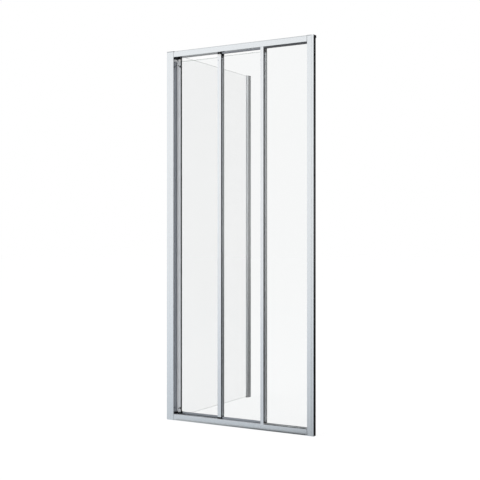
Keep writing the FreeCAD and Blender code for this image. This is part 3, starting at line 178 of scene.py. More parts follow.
class Board:
    """A node tree, with short ways to place nodes and wire them."""

    def __init__(self, tree: bpy.types.NodeTree) -> None:
        """Keeps the tree that the nodes go into."""
        self.tree = tree

    def place(self, kind: str, **settings: object) -> bpy.types.Node:
        """Adds a shader node.

        Args:
            kind: The node's kind, without its common prefix.
            **settings: Properties to set on it.

        Returns:
            The new node.
        """
        node = self.tree.nodes.new("ShaderNode" + kind)
        for name, value in settings.items():
            setattr(node, name, value)
        return node

    def wire(self, source: bpy.types.NodeSocket, target: bpy.types.NodeSocket) -> None:
        """Joins an output to an input."""
        self.tree.links.new(source, target)

    def feed(self, target: bpy.types.NodeSocket, value: object) -> None:
        """Gives an input a value, or wires an output to it.

        Args:
            target: The input.
            value: A plain value or an output.
        """
        if isinstance(value, bpy.types.NodeSocket):
            self.wire(value, target)
        else:
            target.default_value = value

    def sum(self, operation: str, first: object, second: object) -> bpy.types.NodeSocket:
        """Places a sum of two values.

        Args:
            operation: The name of the sum, such as ADD or MULTIPLY.
            first: A number or an output.
            second: A number or an output.

        Returns:
            The output that holds the result.
        """
        node = self.place("Math", operation=operation)
        self.feed(node.inputs[0], first)
        self.feed(node.inputs[1], second)
        return node.outputs[0]

    def noise(self, vector: bpy.types.NodeSocket, scale: float, detail: float) -> bpy.types.NodeSocket:
        """Places a soft noise.

        Args:
            vector: The output that says where.
            scale: Repeats of the noise per unit.
            detail: How much fine noise lies on the broad.

        Returns:
            The output that holds the noise.
        """
        node = self.place("TexNoise")
        self.wire(vector, node.inputs["Vector"])
        node.inputs["Scale"].default_value = scale
        node.inputs["Detail"].default_value = detail
        return node.outputs[0]

    def along(self, vector: bpy.types.NodeSocket, direction: Iterable[float]) -> bpy.types.NodeSocket:
        """Gives how far a vector reaches along a direction.

        Args:
            vector: The output that holds the vector.
            direction: The direction, of length one.

        Returns:
            The output that holds the reach.
        """
        node = self.place("VectorMath", operation="DOT_PRODUCT")
        self.wire(vector, node.inputs[0])
        node.inputs[1].default_value = direction
        return node.outputs["Value"]

    def parts(self, vector: bpy.types.NodeSocket) -> bpy.types.NodeOutputs:
        """Splits a vector.

        Args:
            vector: The output that holds the vector.

        Returns:
            The outputs X, Y and Z.
        """
        node = self.place("SeparateXYZ")
        self.wire(vector, node.inputs["Vector"])
        return node.outputs

    def mix(self, share: bpy.types.NodeSocket, first: object, second: object) -> bpy.types.NodeSocket:
        """Mixes two colours.

        Args:
            share: The output that holds the second colour's share.
            first: A colour or an output.
            second: A colour or an output.

        Returns:
            The output that holds the mixed colour.
        """
        node = self.place("Mix", data_type="RGBA")
        self.wire(share, node.inputs["Factor"])
        self.feed(node.inputs["A"], first)
        self.feed(node.inputs["B"], second)
        return node.outputs["Result"]

    def surface(self, share: bpy.types.NodeSocket, first: bpy.types.NodeSocket,
                second: bpy.types.NodeSocket) -> None:
        """Makes a blend of two shaders the surface of the material.

        Args:
            share: The output that holds the second shader's share.
            first: The first shader's output.
            second: The second shader's output.
        """
        node = self.place("MixShader")
        self.wire(share, node.inputs["Fac"])
        self.wire(first, node.inputs[1])
        self.wire(second, node.inputs[2])
        self.wire(node.outputs["Shader"], self.tree.nodes["Material Output"].inputs["Surface"])


class GrainGroups:
    """The shared node groups that give each finish its fine variation."""

    FINE_SHARE = 1.2
    BROAD_SHARE = 0.8
    BROAD_SCALE = 0.07
    FINE_DETAIL = 3.0
    BROAD_DETAIL = 2.0
    MIDDLE = 0.5
    INPUTS = ("Tone", "Roughness", "Roughness Range")

    def __init__(self) -> None:
        """Starts with no group made."""
        self.made: dict[Texture, bpy.types.NodeTree] = {}

    def get(self, texture: Texture) -> bpy.types.NodeTree:
        """Gives the group of a texture, made on first use.

        Args:
            texture: Drawn lines or a moulded skin.

        Returns:
            The group.
        """
        if texture not in self.made:
            self.made[texture] = self._make(texture)
        return self.made[texture]

    def _make(self, texture: Texture) -> bpy.types.NodeTree:
        """Builds one group.

        Args:
            texture: Drawn lines or a moulded skin.

        Returns:
            A group that varies a colour and a roughness, and gives a height for relief.
        """
        tree = bpy.data.node_groups.new(texture.value, "ShaderNodeTree")
        tree.interface.new_socket("Vector", in_out="INPUT", socket_type="NodeSocketVector")
        tree.interface.new_socket("Colour", in_out="INPUT", socket_type="NodeSocketColor")
        for label in self.INPUTS:
            tree.interface.new_socket(label, in_out="INPUT", socket_type="NodeSocketFloat")
        tree.interface.new_socket("Colour", in_out="OUTPUT", socket_type="NodeSocketColor")
        tree.interface.new_socket("Roughness", in_out="OUTPUT", socket_type="NodeSocketFloat")
        tree.interface.new_socket("Height", in_out="OUTPUT", socket_type="NodeSocketFloat")
        board = Board(tree)
        enter = tree.nodes.new("NodeGroupInput").outputs
        leave = tree.nodes.new("NodeGroupOutput").inputs
        if texture is Texture.DRAWN:
            fine = board.noise(enter["Vector"], 1.0, self.FINE_DETAIL)
        else:
            cells = board.place("TexVoronoi", feature="F1")
            board.wire(enter["Vector"], cells.inputs["Vector"])
            cells.inputs["Scale"].default_value = 1.0
            fine = cells.outputs["Distance"]
        broad = board.noise(enter["Vector"], self.BROAD_SCALE, self.BROAD_DETAIL)
        fine_part = board.sum("MULTIPLY", board.sum("SUBTRACT", fine, self.MIDDLE), self.FINE_SHARE)
        broad_part = board.sum("MULTIPLY", board.sum("SUBTRACT", broad, self.MIDDLE), self.BROAD_SHARE)
        swing = board.sum("ADD", fine_part, broad_part)
        tone = board.sum("ADD", 1.0, board.sum("MULTIPLY", swing, enter["Tone"]))
        tinted = board.place("VectorMath", operation="SCALE")
        board.wire(enter["Colour"], tinted.inputs["Vector"])
        board.wire(tone, tinted.inputs["Scale"])
        gloss = board.sum("MULTIPLY", swing, enter["Roughness Range"])
        board.wire(tinted.outputs["Vector"], leave["Colour"])
        board.wire(board.sum("ADD", enter["Roughness"], gloss), leave["Roughness"])
        board.wire(fine, leave["Height"])
        return tree


GROUPS = GrainGroups()


@dataclass(frozen=True)
class Finish:
    """A surface: its colour, its gloss and the grain that shows on it.

    Pitch and run are in metres: the distance between lines across the grain and their length along it. The
    right shade, where there is one, is painted shade: a darker colour on the faces that look to the right,
    and the right shade start is the place along the front beyond which that painted shade also covers the
    front.
    """

    name: str
    colour: Rgb
    roughness: float
    texture: Texture
    pitch: float
    run: float
    metallic: float = 0.0
    roughness_range: float = 0.06
    tone: float = 0.05
    relief: float = 0.05
    relief_height: float = 0.00005
    specular: float = 0.5
    sheen: float = 0.0
    # Painted shade: the darker colour of the right-facing faces, and where along the front it starts to
    # cover the front too.
    right_side: Rgb | None = None
    right_shade_start: float = 1.0

    def material(self, grain: Grain = Grain.UPRIGHT) -> bpy.types.Material:
        """Makes the material for one direction of grain, once.

        Args:
            grain: The way that the piece was drawn.

        Returns:
            The material.
        """
        label = f"{self.name}_{grain.name.lower()}"
        if label in bpy.data.materials:
            return bpy.data.materials[label]
        material = bpy.data.materials.new(label)
        material.use_nodes = True
        board = Board(material.node_tree)
        shader = material.node_tree.nodes["Principled BSDF"]
        shader.inputs["Metallic"].default_value = self.metallic
        shader.inputs["Specular IOR Level"].default_value = self.specular
        shader.inputs["Sheen Weight"].default_value = self.sheen
        place = board.place("TexCoord")
        mapping = board.place("Mapping")
        mapping.inputs["Scale"].default_value = grain.repeats(self.pitch, self.run)
        board.wire(place.outputs["Object"], mapping.inputs["Vector"])
        group = board.place("Group", node_tree=GROUPS.get(self.texture))
        board.wire(mapping.outputs["Vector"], group.inputs["Vector"])
        group.inputs["Colour"].default_value = linear(self.colour)
        group.inputs["Tone"].default_value = self.tone
        group.inputs["Roughness"].default_value = self.roughness
        group.inputs["Roughness Range"].default_value = self.roughness_range
        bump = board.place("Bump")
        bump.inputs["Strength"].default_value = self.relief
        bump.inputs["Distance"].default_value = self.relief_height
        board.wire(group.outputs["Height"], bump.inputs["Height"])
        board.wire(self._colour(board, place, group), shader.inputs["Base Color"])
        board.wire(group.outputs["Roughness"], shader.inputs["Roughness"])
        board.wire(bump.outputs["Normal"], shader.inputs["Normal"])
        return material

    def _colour(self, board: Board, place: bpy.types.Node, group: bpy.types.Node) -> bpy.types.NodeSocket:
        """Gives the surface's colour, with painted shade on the faces that look to the right.

        Args:
            board: The material's nodes.
            place: The node that gives each point's place and facing.
            group: The node that gives the varied colour.

        Returns:
            The output that holds the colour.
        """
        if self.right_side is None:
            return group.outputs["Colour"]
        # Painted shade: faces that look to the right, and the front beyond the start, take the darker
        # colour.
        facing = board.along(place.outputs["Normal"], Grain.LENGTHWISE.value)
        square = board.sum("GREATER_THAN", facing, SQUARE_ON)
        beyond = board.sum("GREATER_THAN", board.parts(place.outputs["Object"])["X"], self.right_shade_start)
        side = board.sum("MAXIMUM", square, beyond)
        return board.mix(side, group.outputs["Colour"], linear(self.right_side))


@dataclass(frozen=True)
class PiercedFinish(Finish):
    """A finish with a dark ring painted around each hole of a row that runs up the piece, as painted shade
    in the holes. Sizes in metres.
    """

    ring: float = 0.0052
    hole_shade_colour: Rgb = (14, 14, 15)
    inward: float = -0.3916
    first: float = 0.094
    step: float = 0.554

    def _colour(self, board: Board, place: bpy.types.Node, group: bpy.types.Node) -> bpy.types.NodeSocket:
        """Gives the surface's colour, with the rings' painted shade in theirs.

        Args:
            board: The material's nodes.
            place: The node that gives each point's place and facing.
            group: The node that gives the varied colour.

        Returns:
            The output that holds the colour.
        """
        parts = board.parts(place.outputs["Object"])
        turns = board.sum("DIVIDE", board.sum("SUBTRACT", parts["Z"], self.first), self.step)
        rise = board.sum("MULTIPLY", board.sum("SUBTRACT", turns, board.sum("ROUND", turns, 0.0)), self.step)
        reach = board.sum("SUBTRACT", parts["Y"], self.inward)
        square = board.sum("ADD", board.sum("MULTIPLY", rise, rise), board.sum("MULTIPLY", reach, reach))
        # Painted shade: a dark ring around each hole.
        hole_shaded = board.sum("LESS_THAN", square, self.ring * self.ring)
        return board.mix(hole_shaded, super()._colour(board, place, group), linear(self.hole_shade_colour))


@dataclass(frozen=True)
class LippedFinish(Finish):
    """A finish pale on the slope and the back of the foot strip, with a dark band low on its front as
    painted shade under the rail's front lip. Lengths in metres.
    """

    lip: Rgb = (226, 229, 230)
    lip_foot: float = 0.0328
    lip_top: float = 0.0366
    lip_front: float = -0.3945

    def _colour(self, board: Board, place: bpy.types.Node, group: bpy.types.Node) -> bpy.types.NodeSocket:
        """Gives the surface's colour, with the lip pale and the painted shade of the front band dark.

        Args:
            board: The material's nodes.
            place: The node that gives each point's place and facing.
            group: The node that gives the varied colour.

        Returns:
            The output that holds the colour.
        """
        parts = board.parts(place.outputs["Object"])
        behind = board.sum("GREATER_THAN", parts["Y"], self.lip_front)
        above = board.sum("GREATER_THAN", parts["Z"], self.lip_foot)
        below = board.sum("LESS_THAN", parts["Z"], self.lip_top)
        # Outside the pale lip the strip keeps its dark colour; low on the front that band is painted shade.
        lipped = board.sum("MULTIPLY", board.sum("MAXIMUM", behind, above), below)
        return board.mix(lipped, super()._colour(board, place, group), linear(self.lip))


@dataclass(frozen=True)
class ClearGlass:
    """Toughened float glass, clear through its faces and greener and softer at its ground edges.

    The rim is the height, in metres, of the ground band along the top and the foot of a pane.
    """

    name: str
    face: Rgb = (247, 248, 248)
    edge: Rgb = (128, 143, 138)
    band: Rgb = (218, 222, 220)
    rim: float = 0.004
    edge_roughness: float = 0.18
    film: float = 0.012
    film_scale: float = 2.3
    film_detail: float = 2.0
    refraction: float = 1.45
    shade: Rgb = (246, 247, 247)

    def material(self, node: str, across: Grain) -> bpy.types.Material:
        """Makes the glass of a pane.

        Args:
            node: The pane.
            across: The axis that the pane's thickness lies along.

        Returns:
            The material.
        """
        label = f"{self.name}_{node}"
        if label in bpy.data.materials:
            return bpy.data.materials[label]
        material = bpy.data.materials.new(label)
        material.use_nodes = True
        board = Board(material.node_tree)
        shader = material.node_tree.nodes["Principled BSDF"]
        shader.inputs["Transmission Weight"].default_value = 1.0
        shader.inputs["IOR"].default_value = self.refraction
        place = board.place("TexCoord")
        square = board.sum("ABSOLUTE", board.along(place.outputs["Normal"], across.value), 0.0)
        edge = board.sum("LESS_THAN", square, HALF_TURNED)
        film = board.noise(place.outputs["Object"], self.film_scale, self.film_detail)
        tone = board.sum("SUBTRACT", 1.0, board.sum("MULTIPLY", film, self.film))
        tinted = board.place("VectorMath", operation="SCALE")
        tinted.inputs["Vector"].default_value = linear(self.face)[:3]
        board.wire(tone, tinted.inputs["Scale"])
        low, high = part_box(node)
        height = board.parts(place.outputs["Object"])["Z"]
        away = board.sum("ABSOLUTE", board.sum("SUBTRACT", height, (low.z + high.z) / 2), 0.0)
        banded = board.sum("GREATER_THAN", away, (high.z - low.z) / 2 - self.rim)
        face = board.mix(banded, tinted.outputs["Vector"], linear(self.band))
        board.wire(board.mix(edge, face, linear(self.edge)), shader.inputs["Base Color"])
        board.wire(board.sum("MULTIPLY", edge, self.edge_roughness), shader.inputs["Roughness"])
        path = board.place("LightPath")
        clear = board.place("BsdfTransparent")
        clear.inputs["Color"].default_value = linear(self.shade)
        board.surface(path.outputs["Is Shadow Ray"], shader.outputs["BSDF"], clear.outputs["BSDF"])
        return material


ALUMINIUM = Finish("anodised_aluminium", colour=(235, 239, 242), roughness=0.27, texture=Texture.DRAWN,
                   pitch=0.0006, run=0.4, metallic=1.0, roughness_range=0.05, tone=0.035, relief=0.06)
# Painted shade: the corner post's right-facing inner side is coloured darker.
POST_ALUMINIUM = replace(ALUMINIUM, name="post_aluminium", right_side=(160, 163, 168))
# Painted shade: the wall profile's right-facing side is coloured darker, with dark rings painted around its
# holes.
WALL_ALUMINIUM = PiercedFinish(**vars(replace(ALUMINIUM, name="wall_aluminium", right_side=(116, 117, 119))))
# Painted light and shade: a lighter copy of the aluminium for the stiles' fronts, with their right-facing
# sides coloured darker.
STILE_ALUMINIUM = replace(ALUMINIUM, name="stile_aluminium", colour=(241, 244, 247),
                          right_side=(194, 197, 200))
# Painted shade: the inner stile's right-facing side, and its front beyond the start, are coloured near
# black.
SATIN_ALUMINIUM = replace(ALUMINIUM, name="satin_aluminium", colour=(230, 234, 238), roughness=0.42,
                          metallic=0.1, right_side=(40, 41, 43), right_shade_start=-0.3467)
# Painted light: a lighter, less metallic copy of the aluminium for the side profiles and the middle leaf's
# rear stile.
SIDE_ALUMINIUM = replace(ALUMINIUM, name="side_aluminium", colour=(244, 247, 249), metallic=0.84)
SATIN_STRIP = replace(ALUMINIUM, name="satin_strip", colour=(176, 179, 186), roughness=0.45, metallic=0.1)
SILVER_PLASTIC = Finish("silver_plastic", colour=(172, 176, 180), roughness=0.36, texture=Texture.MOULDED,
                        pitch=0.0005, run=0.0005, metallic=0.85, tone=0.04)
BLACK_PLASTIC = Finish("black_plastic", colour=(26, 26, 28), roughness=0.44, texture=Texture.MOULDED,
                       pitch=0.0004, run=0.0004, tone=0.2, relief=0.25)
MATT_BLACK = replace(BLACK_PLASTIC, name="matt_black", colour=(12, 12, 13), roughness=0.7, specular=0.1)
DARK_RUBBER = Finish("dark_rubber", colour=(44, 45, 48), roughness=0.58, texture=Texture.DRAWN,
                     pitch=0.0004, run=0.03, tone=0.2, roughness_range=0.12, relief=0.15, specular=0.4)
STRIP_RUBBER = LippedFinish(**vars(replace(DARK_RUBBER, name="strip_rubber", colour=(78, 80, 84))))
GREY_VINYL = Finish("grey_vinyl", colour=(142, 147, 154), roughness=0.5, texture=Texture.DRAWN,
                    pitch=0.0005, run=0.05, tone=0.1, roughness_range=0.1, relief=0.1)
# Painted shade: a darker grey for the band under the top rail, which stands in for the rail's shade.
UNDER_RAIL_SHADE = replace(GREY_VINYL, name="seal_vinyl", colour=(116, 120, 126))
PALE_VINYL = replace(GREY_VINYL, name="pale_vinyl", colour=(242, 244, 245), tone=0.05)
PALE_PLASTIC = Finish("pale_plastic", colour=(236, 238, 240), roughness=0.4, texture=Texture.MOULDED,
                      pitch=0.0006, run=0.0006)
GREY_PILE = Finish("grey_pile", colour=(122, 123, 126), roughness=0.85, texture=Texture.DRAWN, pitch=0.0002,
                   run=0.002, tone=0.5, roughness_range=0.1, relief=0.4, specular=0.2, sheen=0.4)
STEEL = Finish("steel", colour=(196, 198, 201), roughness=0.24, texture=Texture.DRAWN, pitch=0.0003,
               run=0.004, metallic=1.0, tone=0.08, roughness_range=0.08, relief=0.1)
# Painted shade: a darkened copy of the steel for the inner leaf's bracket screws, which sit in shade.
SHADED_STEEL = replace(STEEL, name="dark_steel", colour=(40, 42, 46), roughness=0.34)
NYLON = Finish("nylon", colour=(248, 247, 243), roughness=0.36, texture=Texture.MOULDED, pitch=0.0005,
               run=0.0005)
DOOR_GLASS = ClearGlass("door_glass")
SIDE_GLASS = ClearGlass("side_glass", face=(254, 254, 254), film=0.004, rim=0.002)


@dataclass
class PileSeal:
    """A brushed strip: a woven band with rows of tufts that wipe the leaf in front. Sizes in metres."""

    node: str
    body: str
    band: float = 0.0005
    rows: int = 2
    pitch: float = 0.00125
    gap: float = 0.00012
    taper: float = 0.72
    splay: float = 0.00022
    shortest: float = 0.9
    seed: int = 11

    def build(self) -> bpy.types.Object:
        """Makes the strip where its plain form stands.

        Returns:
            The new piece, riding on its leaf.
        """
        low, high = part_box(self.node)
        count = int((high.z - low.z) / self.pitch)
        mesh = make_sheet(self.rows, count, high.x - low.x, high.z - low.z)
        turn = Matrix.Rotation(math.radians(90), 4, "X")
        middle = Vector(((low.x + high.x) / 2, high.y - self.band, (low.z + high.z) / 2))
        bmesh.ops.transform(mesh, matrix=Matrix.Translation(middle) @ turn, verts=mesh.verts[:])
        thicken(mesh, Vector((0, self.band, 0)))
        front = [face for face in mesh.faces if face.normal.y < -HALF_TURNED]
        bmesh.ops.inset_individual(mesh, faces=front, thickness=self.gap)
        tufts = bmesh.ops.extrude_discrete_faces(mesh, faces=front)["faces"]
        reach = middle.y - low.y
        draw = random.Random(self.seed)
        for tuft in tufts:
            lean = Vector((draw.uniform(-1, 1), 0, draw.uniform(-1, 1))) * self.splay
            centre = tuft.calc_center_median()
            lift = Vector((0, -reach * draw.uniform(self.shortest, 1.0), 0)) + lean
            for vert in tuft.verts:
                vert.co = centre + (vert.co - centre) * self.taper + lift
        piece = make_object(self.node + "_tufts", mesh, GREY_PILE.material(Grain.INWARD))
        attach(piece, self.body)
        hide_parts(self.node)
        LOG.info("%s has %d tufts", piece.name, len(tufts))
        return piece


@dataclass
class Knob:
    """A small round piece on the front of a longer one, with a soft rim and a dished face. Sizes in metres.

    Across is the distance of its middle from the longer piece's left edge, and sunk is how far its back lies
    inside the front. The dish's rim is a share of the radius.
    """

    name: str
    holder: str
    body: str
    across: float
    height: float
    radius: float
    finish: Finish
    slot: str
    stand: float = 0.0011
    sunk: float = 0.0
    rim: float = 0.0006
    dish: float = 0.0003
    dish_rim: float = 0.3
    segments: int = 28

    def build(self) -> bpy.types.Object:
        """Makes the knob on its holder.

        Returns:
            The new piece, riding on its body.
        """
        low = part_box(self.holder)[0]
        mesh = bmesh.new()
        bmesh.ops.create_circle(mesh, cap_ends=True, segments=self.segments, radius=self.radius)
        crown = thicken(mesh, Vector((0, 0, self.stand)))
        edges = [edge for edge in mesh.edges if all(vert in crown for vert in edge.verts)]
        bmesh.ops.bevel(mesh, geom=edges, offset=self.rim, offset_type="OFFSET", segments=BEVEL_STEPS,
                        profile=0.5, affect="EDGES", material=-1)
        face = max(mesh.faces, key=lambda item: item.calc_center_median().z)
        bmesh.ops.inset_region(mesh, faces=[face], thickness=self.radius * self.dish_rim, depth=-self.dish)
        turn = Matrix.Rotation(math.radians(90), 4, "X")
        middle = Vector((low.x + self.across, low.y + self.sunk, self.height))
        bmesh.ops.transform(mesh, matrix=Matrix.Translation(middle) @ turn, verts=mesh.verts[:])
        piece = make_object(self.name, mesh, self.finish.material())
        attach(piece, self.body)
        LOG.info("%s sits on %s", self.name, self.holder)
        return piece


@dataclass
class SoftBlock:
    """A bar or a shoe with soft edges, given by its lowest and its highest corner. Sizes in metres."""

    name: str
    body: str
    low: Vector
    high: Vector
    finish: Finish
    slot: str
    edge: float

    def build(self) -> bpy.types.Object:
        """Makes the block in its place.

        Returns:
            The new piece, riding on its body.
        """
        reach = self.high - self.low
        mesh = make_sheet(1, 1, reach.x, reach.y)
        middle = Vector((self.low.x + reach.x / 2, self.low.y + reach.y / 2, self.low.z))
        bmesh.ops.translate(mesh, verts=mesh.verts[:], vec=middle)
        thicken(mesh, Vector((0, 0, reach.z)))
        bmesh.ops.bevel(mesh, geom=mesh.edges[:], offset=self.edge, offset_type="OFFSET",
                        segments=BEVEL_STEPS, profile=0.5, affect="EDGES", material=-1)
        piece = make_object(self.name, mesh, self.finish.material())
        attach(piece, self.body)
        LOG.info("%s rides on %s", self.name, self.body)
        return piece


class Assembly:
    """A group of pieces that are finished together."""

    def coat(self, pieces: Pieces, names: Iterable[str], material: bpy.types.Material) -> None:
        """Gives pieces a material.

        Args:
            pieces: Every piece of the enclosure, by name.
            names: The pieces to finish.
            material: The material that they get.
        """
        for name in names:
            slots = pieces[name].data.materials
            slots.clear()
            slots.append(material)
            LOG.info("%s is finished in %s", name, material.name)


@dataclass
class FrontFrame(Assembly):
    """Post, rails, jamb and wall profile of the front, with their caps, screws and stops.

    The sizes, in metres, are those of the tips of the gasket in the seam between the post and the rails, and
    of the grey band below the top rail, a painted shade for the shade under the rail. Its foot and top are
    distances below the rail's foot.
    """

    lengths: tuple[str, ...] = ("top_rail", "bottom_rail", "top_infill")
    caps: tuple[str, ...] = ("corner_post_cap", "fixed_jamb_cap")
    black: tuple[str, ...] = ("wall_profile_cap", "closing_stop")
    rubber: tuple[str, ...] = ("rail_end_gaskets", "track_buffers", "post_buffer")
    pale: tuple[str, ...] = ("post_magnet_strip", "buffer_clip")
    screws: tuple[str, ...] = ("jamb_lock_screws", "frame_screws")
    tip_across: float = 0.0026
    tip_stand: float = 0.005
    tip_sunk: float = 0.0048
    top_tip_height: float = 1.8467
    top_tip_radius: float = 0.0031
    foot_tip_height: float = 0.0036
    foot_tip_radius: float = 0.0022
    # The band below the top rail is painted shade: a grey block where the rail's shade falls.
    shade_band_start: float = 0.017
    shade_band_front: float = 0.0022
    shade_band_back: float = 0.012
    seal_foot: float = 0.0112
    seal_top: float = 0.003
    shade_band_edge: float = 0.0008

    def dress(self, pieces: Pieces) -> None:
        """Finishes the frame's pieces.

        Args:
            pieces: Every piece of the enclosure, by name.
        """
        self.coat(pieces, ["corner_post"], POST_ALUMINIUM.material(Grain.UPRIGHT))
        self.coat(pieces, ["fixed_jamb"], ALUMINIUM.material(Grain.UPRIGHT))
        self.coat(pieces, ["wall_profile"], WALL_ALUMINIUM.material(Grain.UPRIGHT))
        self.coat(pieces, self.lengths, ALUMINIUM.material(Grain.LENGTHWISE))
        self.coat(pieces, ["bottom_infill"], SATIN_STRIP.material(Grain.LENGTHWISE))
        self.coat(pieces, self.caps, SILVER_PLASTIC.material())
        self.coat(pieces, self.black, BLACK_PLASTIC.material())
        self.coat(pieces, self.rubber, DARK_RUBBER.material())
        self.coat(pieces, self.pale, PALE_PLASTIC.material())
        self.coat(pieces, self.screws, STEEL.material())

    def build(self) -> None:
        """Makes the tips of the gasket and the painted-shade band below the top rail."""
        self._tip("seam_tip_top", self.top_tip_height, self.top_tip_radius).build()
        self._tip("seam_tip_foot", self.foot_tip_height, self.foot_tip_radius).build()
        self._seal().build()

    def _tip(self, name: str, height: float, radius: float) -> Knob:
        """Gives a tip of the gasket, not yet built, at a height."""
        return Knob(name, "rail_end_gaskets", "frame", self.tip_across, height, radius, DARK_RUBBER,
                    "dark_rubber", stand=self.tip_stand, sunk=self.tip_sunk)

    def _seal(self) -> SoftBlock:
        """Gives the grey band, painted shade for the shade under the top rail, that reaches left from the
        fixed stile's side.

        Returns:
            The band, not yet built.
        """
        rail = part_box("top_rail")[0]
        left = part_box("middle_lead_stile")[1].x + self.shade_band_start
        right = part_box("fixed_stile")[0].x
        corner = Vector((left, rail.y + self.shade_band_front, rail.z - self.seal_foot))
        far = Vector((right, rail.y + self.shade_band_back, rail.z - self.seal_top))
        return SoftBlock("header_shade_band", "frame", corner, far, UNDER_RAIL_SHADE, "grey_vinyl", self.shade_band_edge)


@dataclass
class FixedPane(Assembly):
    """The pane beside the wall, with its stile and the strips around it."""

    stile: str = "fixed_stile"
    glass: str = "fixed_glass"
    strips: str = "fixed_glass_gaskets"

    def dress(self, pieces: Pieces) -> None:
        """Finishes the fixed pane.

        Args:
            pieces: Every piece of the enclosure, by name.
        """
        self.coat(pieces, [self.stile], STILE_ALUMINIUM.material(Grain.UPRIGHT))
        self.coat(pieces, [self.glass], DOOR_GLASS.material(self.glass, Grain.INWARD))
        self.coat(pieces, [self.strips], STRIP_RUBBER.material(Grain.UPRIGHT))


@dataclass
class SidePane(Assembly):
    """The pane that returns to the wall, with its profiles, strips and blocks."""

    profiles: tuple[str, ...] = ("side_glazing_profile", "side_wall_profile")
    strips: tuple[str, ...] = ("side_post_gasket", "side_glazing_gasket")

    def dress(self, pieces: Pieces) -> None:
        """Finishes the side pane.

        Args:
            pieces: Every piece of the enclosure, by name.
        """
        self.coat(pieces, self.profiles, SIDE_ALUMINIUM.material(Grain.UPRIGHT))
        self.coat(pieces, ["side_glass"], SIDE_GLASS.material("side_glass", Grain.LENGTHWISE))
        self.coat(pieces, self.strips, PALE_VINYL.material(Grain.UPRIGHT))
        self.coat(pieces, ["side_setting_blocks"], DARK_RUBBER.material(Grain.INWARD))
        self.coat(pieces, ["side_profile_cap"], SILVER_PLASTIC.material())
        self.coat(pieces, ["side_lock_screws"], STEEL.material())


@dataclass
class SlidingLeaf(Assembly):
    """A leaf that runs on grooved rollers, with its stiles, seals and roller brackets.

    The sizes, in metres, are those of the small trim on the left stile: a white guide near its top, a black
    shoe under its foot, and either two dark catches or a thin lip along its right edge.
    """

    name: str
    body: str
    lead: Finish
    trail: Finish
    screws: Finish
    trim: Trim
    guide_across: float = 0.0132
    guide_height: float = 1.8078
    guide_radius: float = 0.0055
    catch_across: float = 0.0146
    catch_radius: float = 0.0043
    top_catch_height: float = 1.7762
    foot_catch_height: float = 0.0573
    shoe_width: float = 0.0105
    shoe_reach: float = 0.008
    shoe_inset: float = 0.0003
    shoe_drop: float = 0.0065
    shoe_tuck: float = 0.0035
    shoe_edge: float = 0.0008
    lip_width: float = 0.0025
    lip_reach: float = 0.0018
    lip_stand: float = 0.0001
    lip_depth: float = 0.0006
    lip_edge: float = 0.0002

    def dress(self, pieces: Pieces) -> None:
        """Finishes the leaf's pieces.

        Args:
            pieces: Every piece of the enclosure, by name.
        """
        own = {name[len(self.name) + 1:]: name for name in pieces if name.startswith(self.name + "_")}
        rollers = [name for name in own.values() if "_roller_" in name and not name.endswith("pins")]
        self.coat(pieces, [own["lead_stile"]], self.lead.material(Grain.UPRIGHT))
        self.coat(pieces, [own["trail_stile"]], self.trail.material(Grain.UPRIGHT))
        self.coat(pieces, [own["glass"]], DOOR_GLASS.material(own["glass"], Grain.INWARD))
        self.coat(pieces, [own["glass_gaskets"]], DARK_RUBBER.material(Grain.UPRIGHT))
        self.coat(pieces, [own["drip_seal"]], GREY_VINYL.material(Grain.LENGTHWISE))
        self.coat(pieces, [own["top_brackets"], own["bottom_brackets"]], BLACK_PLASTIC.material())
        self.coat(pieces, [own["roller_pins"]], STEEL.material(Grain.INWARD))
        self.coat(pieces, [own["bracket_screws"]], self.screws.material(Grain.INWARD))
        self.coat(pieces, rollers, NYLON.material())
        if "magnet_strip" in own:
            self.coat(pieces, [own["magnet_strip"]], PALE_PLASTIC.material())

    def build(self) -> None:
        """Makes the leaf's brushed seal and its small trim."""
        stile = self.name + "_lead_stile"
        PileSeal(self.name + "_pile_seal", self.body).build()
        self._shoe(stile).build()
        Knob(self.name + "_guide", stile, self.body, self.guide_across, self.guide_height, self.guide_radius,
             NYLON, "nylon").build()
        if self.trim is Trim.LIP:
            self._lip(stile).build()
        else:
            self._catch("top", stile, self.top_catch_height).build()
            self._catch("foot", stile, self.foot_catch_height).build()

    def _catch(self, end: str, stile: str, height: float) -> Knob:
        """Gives the catch, not yet built, near one end of a stile."""
        return Knob(f"{self.name}_catch_{end}", stile, self.body, self.catch_across, height,
                    self.catch_radius, MATT_BLACK, "black_plastic")

    def _shoe(self, stile: str) -> SoftBlock:
        """Gives the black shoe that closes the right half of a stile's foot and reaches under the glass.

        Args:
            stile: The stile that carries it.

        Returns:
            The shoe, not yet built.
        """
        low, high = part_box(stile)
        corner = Vector((high.x - self.shoe_width, low.y + self.shoe_inset, low.z - self.shoe_drop))
        far = Vector((high.x + self.shoe_reach, high.y - self.shoe_inset, low.z + self.shoe_tuck))
        return SoftBlock(self.name + "_foot_plug", self.body, corner, far, MATT_BLACK, "black_plastic",
                         self.shoe_edge)

    def _lip(self, stile: str) -> SoftBlock:
        """Gives the thin lip that runs up the right edge of a stile's front.

        Args:
            stile: The stile that carries it.

        Returns:
            The lip, not yet built.
        """
        low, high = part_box(stile)
        corner = Vector((high.x - self.lip_width, low.y - self.lip_stand, low.z))
        far = Vector((high.x + self.lip_reach, low.y + self.lip_depth, high.z))
        return SoftBlock(self.name + "_lip", self.body, corner, far, self.lead, "anodised_aluminium",
                         self.lip_edge)


